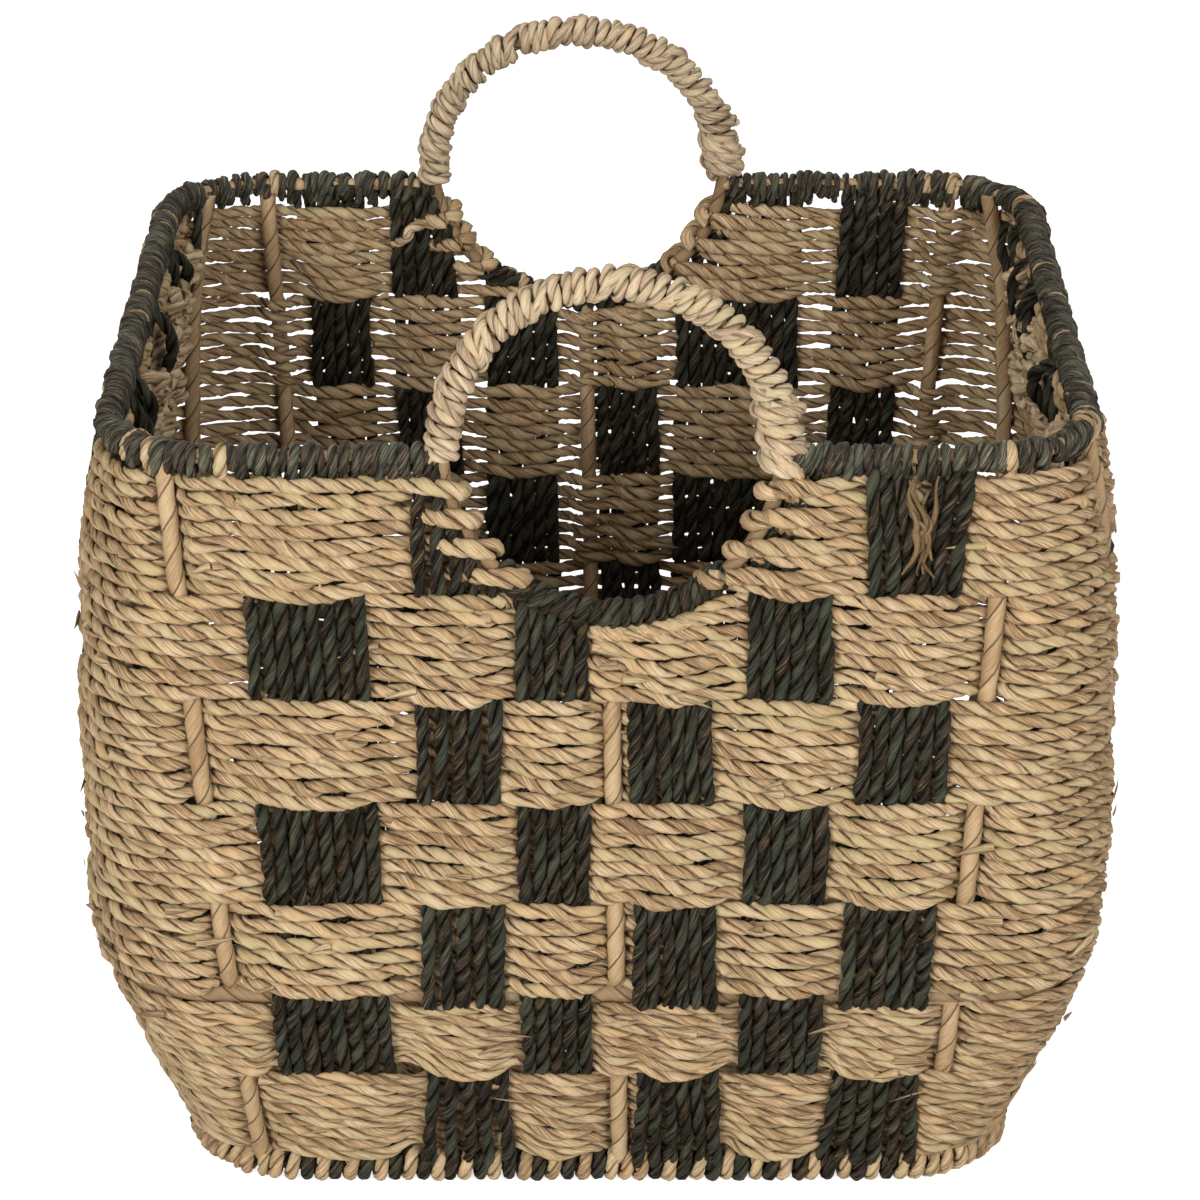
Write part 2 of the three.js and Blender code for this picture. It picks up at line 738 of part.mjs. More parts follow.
function makeRingWindings(face) {
  const handleClear = wireRadius + handleStrand.width / 2 + handleStrand.thickness + seat;
  const handleStart = Math.asin((handleClear - face.rise) / ringRadius);
  const handleSweep = Math.PI - 2 * handleStart;
  const handleAt = (share) => ringFrame(face, handleStart + handleSweep * share);
  const notchSweep = notchArcShare * 2 * Math.PI;
  const notchStart = -(Math.PI + notchSweep) / 2;
  const notchAt = (share) => ringFrame(face, notchStart + notchSweep * share);
  const handleName = `${face.name}_handle_winding`;
  const notchName = `${face.name}_notch_winding`;
  return [
    makeWinding(handleName, "natural", handleStrand, handleLoops, handleAt),
    makeWinding(notchName, "dark", notchStrand, notchLoops, notchAt),
  ];
}

// Base: one woven panel, laid inside the foot binding
function makeBase() {
  const path = roundedPath(footLevel, -(footRadius * Math.SQRT1_2 + seat));
  const levels = [baseLift, baseLift + baseThickness];
  const outline = hoopStations(path).map((distance) => path.at(distance).point);
  const rings = levels.map((level) => outline.map((point) => point.clone().setZ(level)));
  return loft("base_panel", "natural", rings);
}

const basket = new THREE.Group();
basket.name = "magazine_basket";
basket.add(makeRimWire(-1), makeRimWire(1), makeRimBinding(-1), makeRimBinding(1));
for (const face of faces) {
  if (face.ring !== undefined) basket.add(makeRing(face), ...makeRingWindings(face));
}
basket.add(...makeHoops(), makeBase(), ...makeStanding(), ...makeBands());

export default basket;
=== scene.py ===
"""Woven magazine basket: rope rows woven over and under dark rope on a wrapped wire frame.

Every size is in metres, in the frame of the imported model: +Z up, front towards -Y.
"""

import functools
import math
from collections import namedtuple

import bpy
import numpy as np
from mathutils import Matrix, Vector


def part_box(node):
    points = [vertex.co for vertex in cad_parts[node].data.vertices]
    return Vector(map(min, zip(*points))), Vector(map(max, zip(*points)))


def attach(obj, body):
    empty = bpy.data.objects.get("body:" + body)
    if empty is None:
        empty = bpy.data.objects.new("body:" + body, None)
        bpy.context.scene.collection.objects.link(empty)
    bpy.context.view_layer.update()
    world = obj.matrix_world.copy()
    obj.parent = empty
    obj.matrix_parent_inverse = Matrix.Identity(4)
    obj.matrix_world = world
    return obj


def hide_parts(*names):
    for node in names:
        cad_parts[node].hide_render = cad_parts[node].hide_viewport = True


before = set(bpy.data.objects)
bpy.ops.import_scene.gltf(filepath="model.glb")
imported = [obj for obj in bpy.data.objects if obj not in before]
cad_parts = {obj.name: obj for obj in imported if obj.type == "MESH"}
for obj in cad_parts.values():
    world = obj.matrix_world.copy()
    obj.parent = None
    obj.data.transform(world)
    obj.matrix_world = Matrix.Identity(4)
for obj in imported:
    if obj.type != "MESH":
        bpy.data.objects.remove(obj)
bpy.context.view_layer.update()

bl_info = {
    "name": "Woven magazine basket",
    "version": (1, 0, 0),
    "blender": (4, 5, 0),
    "location": "3D View > Sidebar > Basket",
    "description": "Rope woven over and under dark rope on a wire frame, with two ring handles",
    "category": "Add Mesh",
}

MM = 0.001
FULL_TURN = 2 * math.pi
UP = np.array([0.0, 0.0, 1.0])
FRONT, RIGHT, BACK, LEFT = range(4)


# ---------------------------------------------------------------- sizes


def middle_level(node):
    """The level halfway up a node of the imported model."""
    low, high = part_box(node)
    return (low[2] + high[2]) / 2


# How many ropes each row has, first row first, and the row that the middle hoop lies above
ROW_ROPES = [8, 7, 7, 7, 6, 7, 8]
ROW_COUNT = len(ROW_ROPES)
HOOP_ABOVE_ROW = 6

RIM_LEVEL = middle_level("rim_wire_left")
HOOP_LEVEL = middle_level("middle_hoop")
FOOT_LEVEL = middle_level("foot_binding")
BASE_OF_ROWS = 13 * MM
WIRE_RADIUS = 2.5 * MM
ROD_RADIUS = 3 * MM
HOOP_RADIUS = 3.5 * MM
ROPE_RADIUS = 2.6 * MM

# How far out of the wall's middle the middle hoop, the rods and the warps stand
HOOP_OFFSET = -2.8 * MM
ROD_INSIDE, ROD_OUTSIDE, ROD_AT_HOOP = -3.4 * MM, 0.3 * MM, -6.2 * MM
WARP_REACH = 2.7 * MM

# The rings: how they lean, their radius to the middle of their wire, and where their centres are
# along the front and the back and above the rim
RING_LEAN = math.radians(6)
RING_RADIUS = 56.6 * MM
RING_PLACES = {FRONT: 4.8 * MM, BACK: 7.8 * MM}
RING_RISES = {FRONT: 2.4 * MM, BACK: 7.6 * MM}

# Steps of the tables that profiles are read from, and of the points of wound leaf
GRID = 0.5 * MM
WRAP_STEP = 1.5 * MM

# How a row's ropes pass a rod outside and inside it, in millimetres: how far along from its middle,
# how far out, the least belly, and how thick they are
PAST_ROD = {
    True: [(-8, 1.4, 0, 0.88), (-2.5, -5.4, 0, 0.8), (2.5, -5.4, 0, 0.8), (8, 1.4, 0, 0.88)],
    False: [(-5, 1.8, 0, 0.9), (0, 2.6, 0.2, 0.92), (5, 1.8, 0, 0.9)],
}

# A rod or warp: whether it passes outside in the odd rows, shares of the face's half at the rim and
# at the foot, share of the half that its ropes cover, and how many ropes it has
Column = namedtuple("Column", "name odd at_rim at_foot width ropes")
FRONT_COLUMNS = [
    Column("rod_left", True, -0.876, -0.725, 0, 0),
    Column("warp_1", False, -0.604, -0.545, 0.24, 8),
    Column("warp_2", True, -0.29, -0.278, 0.17, 5),
    Column("warp_3", False, -0.097, -0.084, 0.145, 5),
    Column("rod_middle", True, 0.02, 0.048, 0, 0),
    Column("warp_4", True, 0.136, 0.174, 0.165, 6),
    Column("warp_5", False, 0.391, 0.382, 0.165, 6),
    Column("warp_6", True, 0.65, 0.577, 0.18, 6),
    Column("rod_right", False, 0.828, 0.715, 0, 0),
]
BACK_COLUMNS = [
    Column("rod_left", True, -0.83, -0.72, 0, 0),
    Column("warp_1", False, -0.655, -0.59, 0.15, 5),
    Column("warp_2", True, -0.337, -0.32, 0.28, 9),
    Column("warp_3", False, -0.062, -0.09, 0.14, 5),
    Column("rod_middle", False, 0.036, 0.006, 0, 0),
    Column("warp_4", True, 0.185, 0.185, 0.165, 6),
    Column("warp_5", False, 0.42, 0.39, 0.15, 5),
    Column("warp_6", True, 0.628, 0.58, 0.14, 5),
    Column("rod_right", False, 0.785, 0.7, 0, 0),
]
SIDE_WARPS = [
    Column(f"warp_{i + 1}", i % 2 == 1, (i - 2.5) * 0.25, (i - 2.5) * 0.22, 0.165, 5)
    for i in range(6)
]
SIDE_COLUMNS = [
    Column("rod_left", True, -0.82, -0.7216, 0, 0),
    *SIDE_WARPS,
    Column("rod_right", False, 0.82, 0.7216, 0, 0),
]
FACE_NAMES = ["front", "right", "back", "left"]
COLUMNS = [FRONT_COLUMNS, SIDE_COLUMNS, BACK_COLUMNS, SIDE_COLUMNS]
WARPS = [[column for column in columns if column.ropes] for columns in COLUMNS]
RODS = [[column for column in columns if not column.ropes] for columns in COLUMNS]
FRAYED_WARP = WARPS[FRONT][5]


def row_bounds():
    """The bottom and top of each row's ropes, first row first, to the middle of the gaps."""
    nodes = ["band_1_left"] + [f"band_{row}" for row in range(2, ROW_COUNT + 1)]
    levels = [(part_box(node)[0][2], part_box(node)[1][2]) for node in nodes]
    beside_hoop = HOOP_RADIUS - 1.6 * MM
    tops = [levels[0][1]]
    for row in range(1, ROW_COUNT):
        above = levels[row - 1][0]
        # the second row's box ends in its dip under the rings, so its top is set from the first row
        top = above - 4.5 * MM if row == 1 else levels[row][1]
        under_hoop = row == HOOP_ABOVE_ROW - 1
        tops.append(HOOP_LEVEL - beside_hoop if under_hoop else above - (above - top) / 2)
    bottoms = tops[1:] + [BASE_OF_ROWS]
    bottoms[HOOP_ABOVE_ROW - 2] = HOOP_LEVEL + beside_hoop
    return list(zip(bottoms, tops))


ROW_BOUNDS = row_bounds()


# ---------------------------------------------------------------- settings


def length(name, default, description):
    return bpy.props.FloatProperty(
        name=name, description=description, default=default, unit="LENGTH", precision=4
    )


def colour(name, default, description):
    return bpy.props.FloatVectorProperty(
        name=name, description=description, default=default, subtype="COLOR", size=3, min=0, max=1
    )


class BasketWallSettings(bpy.types.PropertyGroup):
    rim_half_width: length("Rim half width", 0.1655, "Half the wall's width at the rim")
    rim_half_depth: length("Rim half depth", 0.149, "Half the wall's depth at the rim")
    corner_radius: length("Corner radius", 0.038, "Radius of the wall's four upright corners")
    shoulder_drop: length("Shoulder drop", 0.048, "How far below the rim the shoulder bulges")
    belly_rise: length("Belly rise", 0.044, "How far above the middle hoop the belly bulges")


class BasketRopeSettings(bpy.types.PropertyGroup):
    weave_reach: length("Weave reach", 0.0026, "How far the ropes pass outside and inside the wall")
    belly_below: length("Belly below", 0.0022, "How far a row's lowest rope sags past a warp")
    belly_above: length("Belly above", 0.0008, "How far a row's highest rope rises past a warp")
    step: length("Path step", 0.0024, "Distance between the points of a rope's path")
    seed: bpy.props.IntProperty(name="Seed", description="Start of the random draws", default=7)


class BasketColourSettings(bpy.types.PropertyGroup):
    straw: colour("Straw", (0.625, 0.445, 0.25), "The usual colour of the natural rope")
    pale: colour("Pale leaf", (0.745, 0.59, 0.38), "The palest leaf of the natural rope")
    shade: colour("Old leaf", (0.39, 0.235, 0.115), "The darkest leaf of the natural rope")
    charcoal: colour("Charcoal", (0.035, 0.0305, 0.019), "The usual colour of the dark rope")
    teal: colour("Teal", (0.022, 0.046, 0.032), "The dyed leaf that stayed green")
    plum: colour("Plum", (0.12, 0.062, 0.045), "The dyed leaf that turned purple brown")


# ---------------------------------------------------------------- node trees


class Term:
    """One output of a node tree; an operator on it adds the Math or Vector Math node."""

    def __init__(self, tree, socket):
        self.tree, self.socket = tree, socket

    def maths(self, operation, *others, swap=False):
        values = [self, *others][::-1] if swap else [self, *others]
        kinds = {value.socket.type for value in values if isinstance(value, Term)}
        vector = operation in {"ADD", "SUBTRACT", "MULTIPLY"} and kinds & {"VECTOR", "RGBA"}
        kind = "ShaderNodeVectorMath" if vector else "ShaderNodeMath"
        if vector:
            values = [(v, v, v) if isinstance(v, (int, float)) else v for v in values]
        return self.tree.node(kind, {"operation": operation}, dict(enumerate(values)))

    def __add__(self, other):
        return self.maths("ADD", other)

    def __sub__(self, other):
        return self.maths("SUBTRACT", other)

    def __rsub__(self, other):
        return self.maths("SUBTRACT", other, swap=True)

    def __mul__(self, other):
        return self.maths("MULTIPLY", other)

    def __truediv__(self, other):
        return self.maths("DIVIDE", other)

    __radd__ = __add__
    __rmul__ = __mul__


class Tree:
    """A node tree under construction: node() adds one node and returns one of its outputs."""

    def __init__(self, tree):
        self.tree = tree

    def join(self, value, socket):
        if isinstance(value, Term):
            self.tree.links.new(value.socket, socket)
        else:
            socket.default_value = value

    def node(self, kind, settings=None, inputs=None, out=0):
        made = self.tree.nodes.new(kind)
        for key, value in (settings or {}).items():
            if key == "stops":
                ramp = made.color_ramp
                while len(ramp.elements) < len(value):
                    ramp.elements.new(1)
                for element, (position, shade) in zip(ramp.elements, value):
                    element.position, element.color = position, (*shade, 1)
            else:
                setattr(made, key, value)
        for key, value in (inputs or {}).items():
            self.join(value, made.inputs[key])
        return Term(self, made.outputs[out]) if made.outputs else None

    def vector(self, x, y, z):
        return self.node("ShaderNodeCombineXYZ", inputs={0: x, 1: y, 2: z})

    def parts(self, vector):
        """The three numbers of a vector."""
        split = self.node("ShaderNodeSeparateXYZ", inputs={0: vector}).socket.node
        return [Term(self, output) for output in split.outputs]

    def noise(self, vector, scale=1.0, detail=2.0, roughness=0.5):
        inputs = {"Vector": vector, "Scale": scale, "Detail": detail, "Roughness": roughness}
        return self.node("ShaderNodeTexNoise", inputs=inputs, out="Fac")

    def ramp(self, value, stops):
        return self.node("ShaderNodeValToRGB", {"stops": stops}, {0: value})

    def fit(self, value, low, high, to_low=0.0, to_high=1.0):
        inputs = {0: value, 1: low, 2: high, 3: to_low, 4: to_high}
        return self.node("ShaderNodeMapRange", {"clamp": True}, inputs)

    def mix(self, share, first, second):
        settings = {"data_type": "RGBA", "clamp_factor": True}
        return self.node("ShaderNodeMix", settings, {0: share, 6: first, 7: second}, out=2)


class GeometryTree(Tree):
    """A geometry node group under construction, with its inputs by name."""

    def __init__(self, name, labels):
        group = bpy.data.node_groups.new(name, "GeometryNodeTree")
        super().__init__(group)
        kinds = {label: "Float" for label in labels}
        kinds |= {"Sides": "Int", "Seed": "Float", "Material": "Material"}
        for label, kind in {"Geometry": "Geometry", **kinds}.items():
            group.interface.new_socket(label, in_out="INPUT", socket_type=f"NodeSocket{kind}")
        group.interface.new_socket("Geometry", in_out="OUTPUT", socket_type="NodeSocketGeometry")
        entry = group.nodes.new("NodeGroupInput")
        self.given = {socket.name: Term(self, socket) for socket in entry.outputs if socket.name}
        self.position = self.node("GeometryNodeInputPosition")

    def read(self, label, kind="FLOAT"):
        settings = {"data_type": kind}
        return self.node("GeometryNodeInputNamedAttribute", settings, {"Name": label})

    def way(self, label):
        return self.read(label, "FLOAT_VECTOR")

    def store(self, geometry, label, value, kind="FLOAT"):
        settings = {"data_type": kind, "domain": "POINT"}
        inputs = {"Geometry": geometry, "Name": label, "Value": value}
        return self.node("GeometryNodeStoreNamedAttribute", settings, inputs)

    def vector_node(self, operation, inputs):
        return self.node("ShaderNodeVectorMath", {"operation": operation}, inputs)

    def scaled(self, value, amount):
        return self.vector_node("SCALE", {0: value, "Scale": amount})

    def path_curve(self):
        """The paths as curves whose points know their place and their two cross directions."""
        tangent = self.node("GeometryNodeInputTangent")
        curve = self.node("GeometryNodeMeshToCurve", inputs={0: self.given["Geometry"]})
        across = self.vector_node("CROSS_PRODUCT", {0: self.way("outward"), 1: tangent})
        across = self.vector_node("NORMALIZE", {0: across})
        curve = self.store(curve, "across", across, "FLOAT_VECTOR")
        outward = self.vector_node("CROSS_PRODUCT", {0: tangent, 1: self.way("across")})
        curve = self.store(curve, "outward", outward, "FLOAT_VECTOR")
        return self.store(curve, "axis", self.position, "FLOAT_VECTOR")

    def sweep(self, curve):
        """A round tube along the curves, and each point's place on the unit circle."""
        inputs = {"Resolution": self.given["Sides"], "Radius": 1.0}
        circle = self.node("GeometryNodeCurvePrimitiveCircle", inputs=inputs)
        profile = self.store(circle, "section", self.position, "FLOAT_VECTOR")
        inputs = {0: curve, 1: profile, "Fill Caps": True}
        mesh = self.node("GeometryNodeCurveToMesh", inputs=inputs)
        return mesh, *self.parts(self.way("section"))[:2]

    def placed(self, mesh, position, height, section):
        """The tube moved to its place, with what its finish reads; the rest is removed."""
        inputs = {"Geometry": mesh, "Position": position}
        mesh = self.node("GeometryNodeSetPosition", inputs=inputs)
        mesh = self.store(mesh, "height", height)
        mesh = self.store(mesh, "section", section, "FLOAT_VECTOR")
        for label in ("axis", "across", "outward", "swell"):
            inputs = {"Geometry": mesh, "Name": label}
            mesh = self.node("GeometryNodeRemoveAttribute", inputs=inputs)
        return mesh

    def finish(self, tubes):
        """Joins the tubes, turns their faces outwards and gives them their material."""
        joined = self.tree.nodes.new("GeometryNodeJoinGeometry")
        for tube in tubes:
            self.tree.links.new(tube.socket, joined.inputs[0])
        whole = Term(self, joined.outputs[0])
        for kind in ("SetShadeSmooth", "FlipFaces", "RealizeInstances"):
            whole = self.node(f"GeometryNode{kind}", inputs={0: whole})
        inputs = {"Geometry": whole, "Material": self.given["Material"]}
        dressed = self.node("GeometryNodeSetMaterial", inputs=inputs)
        self.tree.links.new(dressed.socket, self.tree.nodes.new("NodeGroupOutput").inputs[0])
        return self.tree


# Noise along the strands, in waves per metre, and how far apart two strands lie in it and in turn
SLIP_WAVES, LUMP_WAVES, CREASE_WAVES, WOUND_WAVES = 26.0, 120.0, 110.0, 70.0
STRANDS_APART, TURNS_APART = 57.0, 7.31

# The flat leaf round a rod: how many leaves side by side, and how many turns per metre
LEAF_STARTS, LEAF_TURNS = 2, 88.0

# The names of the node groups' sizes
TURNS = "Turns per metre"
TWISTED = ["Ply offset", "Ply depth", "Ply breadth", TURNS, "Unevenness", "Creases", "Slip"]
WOUND = ["Radius", TURNS, "Lift", "Unevenness"]


def strand_tree(name, plies):
    """Lays one or two twisted plies round each path of a mesh of edges.

    A path's points carry outward (the side that counts as out), run (running length), rope
    (a number of its own) and swell (how thick it is there)."""
    tree = GeometryTree(name, TWISTED)
    given, scaled = tree.given, tree.scaled
    curve = tree.path_curve()
    tubes = []
    for ply in range(plies):
        mesh, inwards, sidewards = tree.sweep(curve)
        run, rope = tree.read("run"), tree.read("rope")
        own = rope * STRANDS_APART + given["Seed"]
        slip = tree.noise(tree.vector(run * SLIP_WAVES, own, 5.0), detail=1.0)
        slip = spread(slip, given["Slip"])
        start = rope * (FULL_TURN * TURNS_APART) + ply * math.pi if plies > 1 else 0.0
        phase = start - run * given[TURNS] * FULL_TURN + slip
        cos, sin = phase.maths("COSINE"), phase.maths("SINE")
        outward, across = tree.way("outward"), tree.way("across")
        radial = scaled(outward, cos) + scaled(across, sin)
        tangential = scaled(across, cos) - scaled(outward, sin)
        lumps = tree.noise(tree.vector(run * LUMP_WAVES, own, ply * 13.7), detail=1.0)
        scale = tree.read("swell") * (spread(lumps, 2.0) * given["Unevenness"] + 1.0)
        creased = tree.vector(
            run * CREASE_WAVES + inwards * 2.1, sidewards * 2.1 + ply * 9.1, own * 1.7
        )
        crease = tree.noise(creased, detail=2.0, roughness=0.65)
        crease = spread(crease, 2.0) * given["Creases"]
        reach = given["Ply offset"] + inwards * (given["Ply depth"] + crease)
        aside = sidewards * (given["Ply breadth"] + crease)
        position = tree.way("axis") + scaled(radial, reach * scale)
        position = position + scaled(tangential, aside * scale)
        # How far a point stands from the strand's middle, against its ply's full reach; the
        # finishes paint shade where it is low, between the plies
        height = (reach * reach + aside * aside).maths("SQRT")
        height = height / (given["Ply offset"] + given["Ply depth"])
        mesh = tree.store(mesh, "turn", phase * (1 / FULL_TURN))
        section = tree.vector(inwards, sidewards, float(ply))
        tubes.append(tree.placed(mesh, position, height, section))
    return tree.finish(tubes)


def wrap_tree(name):
    """Lays a tube of wound flat leaf round each path, each turn's edge over the turn before."""
    tree = GeometryTree(name, WOUND)
    given, scaled = tree.given, tree.scaled
    mesh, inwards, sidewards = tree.sweep(tree.path_curve())
    run, rope = tree.read("run"), tree.read("rope")
    wound = run * given[TURNS] + wound_angle(inwards, sidewards) * LEAF_STARTS
    own = rope * STRANDS_APART + given["Seed"]
    lumps = tree.noise(tree.vector(run * WOUND_WAVES + inwards, own, sidewards), detail=2.0)
    uneven = spread(lumps, 2.0) * given["Unevenness"]
    swell = spread(wound.maths("FRACT"), given["Lift"]) + uneven + 1.0
    radius = given["Radius"] * tree.read("swell") * swell
    aside = scaled(tree.way("across"), sidewards * radius)
    position = tree.way("axis") + scaled(tree.way("outward"), inwards * radius) + aside
    return tree.finish([tree.placed(mesh, position, swell, tree.vector(inwards, sidewards, 0.0))])


def spread(value, amount):
    """A noise value spread away from its middle."""
    return (value - 0.5) * amount


def wound_angle(inwards, sidewards):
    """The angle round a section as a share of a full turn."""
    return sidewards.maths("ARCTAN2", inwards) * (1 / FULL_TURN)


@functools.cache
def node_tree(kind):
    """The node group of that kind, made when it is first asked for."""
    if kind == "wound":
        return wrap_tree("wound_leaf")
    return strand_tree("two_ply_rope", 2) if kind == "rope" else strand_tree("single_leaf", 1)


def twisted(offset, depth, breadth, turns, sides, uneven, creases, slip, kind="rope"):
    """A strand of plies: its tree and the tree's inputs, with lengths in millimetres."""
    sizes = (offset * MM, depth * MM, breadth * MM, float(turns), uneven, creases * MM, slip)
    return kind, {**dict(zip(TWISTED, sizes)), "Sides": sides}


def wound_leaf(radius, sides):
    """A rod or wire wound with flat leaf: its tree and the tree's inputs."""
    return "wound", {**dict(zip(WOUND, (radius, LEAF_TURNS, 0.16, 0.1))), "Sides": sides}


STRANDS = {
    "rope": twisted(1.28, 1.4, 2.32, 56, 8, 0.44, 0.75, 5.5),
    "thin": twisted(1.1, 1.35, 1.95, 45, 8, 0.32, 0.6, 5.0),
    "warp": twisted(1.2, 1.38, 2.0, 54, 7, 0.4, 0.75, 5.5),
    "handle": twisted(0.85, 1.25, 1.68, 68, 8, 0.44, 0.65, 5.0),
    "notch": twisted(0.75, 1.0, 1.5, 80, 7, 0.3, 0.4, 3.0),
    "rim": twisted(0.85, 1.25, 1.7, 55, 8, 0.36, 0.6, 4.0),
    "foot": twisted(1.05, 1.35, 2.05, 70, 8, 0.25, 0.5, 3.0),
    "leaf": twisted(0.0, 0.22, 0.9, 0, 5, 0.2, 0.1, 2.5, "leaf"),
    "rod": wound_leaf(ROD_RADIUS, 14),
    "hoop": wound_leaf(HOOP_RADIUS, 14),
    "wire": wound_leaf(WIRE_RADIUS, 12),
}


# ---------------------------------------------------------------- pieces


def running_length(points):
    """The length along a line of points, at each of them."""
    steps = np.linalg.norm(np.diff(points, axis=0), axis=1)
    return np.concatenate([[0.0], np.cumsum(steps)])


class Path:
    """One strand's way: points, which side is out at each, how thick it is there, its number.

    Its running length is stretched by its number, so that no two strands twist alike."""

    TIGHTEST, LOOSER = 0.86, 0.28

    def __init__(self, points, outward, swell, rope, closed=False):
        self.points, self.outward, self.closed = points, outward, closed
        self.swell, self.rope = (np.broadcast_to(value, len(points)) for value in (swell, rope))
        self.run = running_length(points) * (self.TIGHTEST + self.LOOSER * rope)

    def close_twist(self, turn_length):
        """Scales a closed path's running length so that its twist meets itself."""
        whole = self.run[-1] + np.linalg.norm(self.points[0] - self.points[-1])
        turns = max(round(whole / turn_length), 1)
        self.run = self.run * (turns * turn_length / whole)


def link_object(name, data):
    made = bpy.data.objects.new(name, data)
    bpy.context.scene.collection.objects.link(made)
    return made


def path_mesh(name, paths):
    """A mesh of the paths' edges, whose points carry what the node groups read."""
    edges, start = [], 0
    for path in paths:
        index = np.arange(start, start + len(path.points))
        pairs = np.stack([index, np.roll(index, -1)], -1)
        edges.append(pairs if path.closed else pairs[:-1])
        start += len(path.points)
    joined = lambda field: np.concatenate([getattr(path, field) for path in paths])
    mesh = bpy.data.meshes.new(name)
    mesh.from_pydata(joined("points").tolist(), np.concatenate(edges).tolist(), [])
    for label in ("outward", "run", "swell", "rope"):
        kind, field = ("FLOAT_VECTOR", "vector") if label == "outward" else ("FLOAT", "value")
        values = np.ascontiguousarray(joined(label), dtype=np.float32).ravel()
        mesh.attributes.new(label, kind, "POINT").data.foreach_set(field, values)
    return mesh


def make_strands(name, paths, strand, material, seed):
    """The paths dressed by their node group and turned into a plain mesh."""
    kind, sizes = STRANDS[strand]
    for path in paths:
        if path.closed:
            path.close_twist(1 / sizes[TURNS])
    mesh = path_mesh(name, paths)
    work = link_object(name + "_paths", mesh)
    modifier = work.modifiers.new("Strands", "NODES")
    modifier.node_group = node_tree(kind)
    values = {**sizes, "Seed": float(seed), "Material": material}
    for item in modifier.node_group.interface.items_tree:
        if item.in_out == "INPUT" and item.name in values:
            modifier[item.identifier] = values[item.name]
    depsgraph = bpy.context.evaluated_depsgraph_get()
    finished = bpy.data.meshes.new_from_object(work.evaluated_get(depsgraph), depsgraph=depsgraph)
    finished.name = name
    bpy.data.objects.remove(work)
    bpy.data.meshes.remove(mesh)
    return link_object(name, finished)


def lay(name, paths, strand, material, seed, nodes):
    """Makes one piece and puts it in the place of its solids."""
    piece = make_strands(name, paths, strand, finish(material), seed)
    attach(piece, "root")
    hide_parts(*nodes)


# ---------------------------------------------------------------- the wall


def smooth_step(value, low, high):
    """0 up to low and 1 from high, with a smooth rise between."""
    t = np.clip((value - low) / (high - low), 0, 1)
    return t * t * (3 - 2 * t)


def bell(distance, width):
    """1 where the distance is 0, falling away smoothly over a width."""
    return np.exp(-((distance / width) ** 2))


def smoothed(line, reach, mode):
    """Values on the grid, smoothed over a reach."""
    cells = int(reach / GRID * 4)
    kernel = np.exp(-0.5 * (np.arange(-cells, cells + 1) / (reach / GRID)) ** 2)
    return np.convolve(np.pad(line, cells, mode=mode), kernel / kernel.sum(), mode="valid")


def wander(rng, run, reach, wavelength):
    """A smooth random sway along a run."""
    total = np.zeros_like(run)
    for _ in range(4):
        waves = FULL_TURN / (wavelength * rng.uniform(0.7, 1.6))
        total += np.sin(run * waves + rng.uniform(0, FULL_TURN)) * rng.uniform(0.4, 1)
    return total * reach / 2


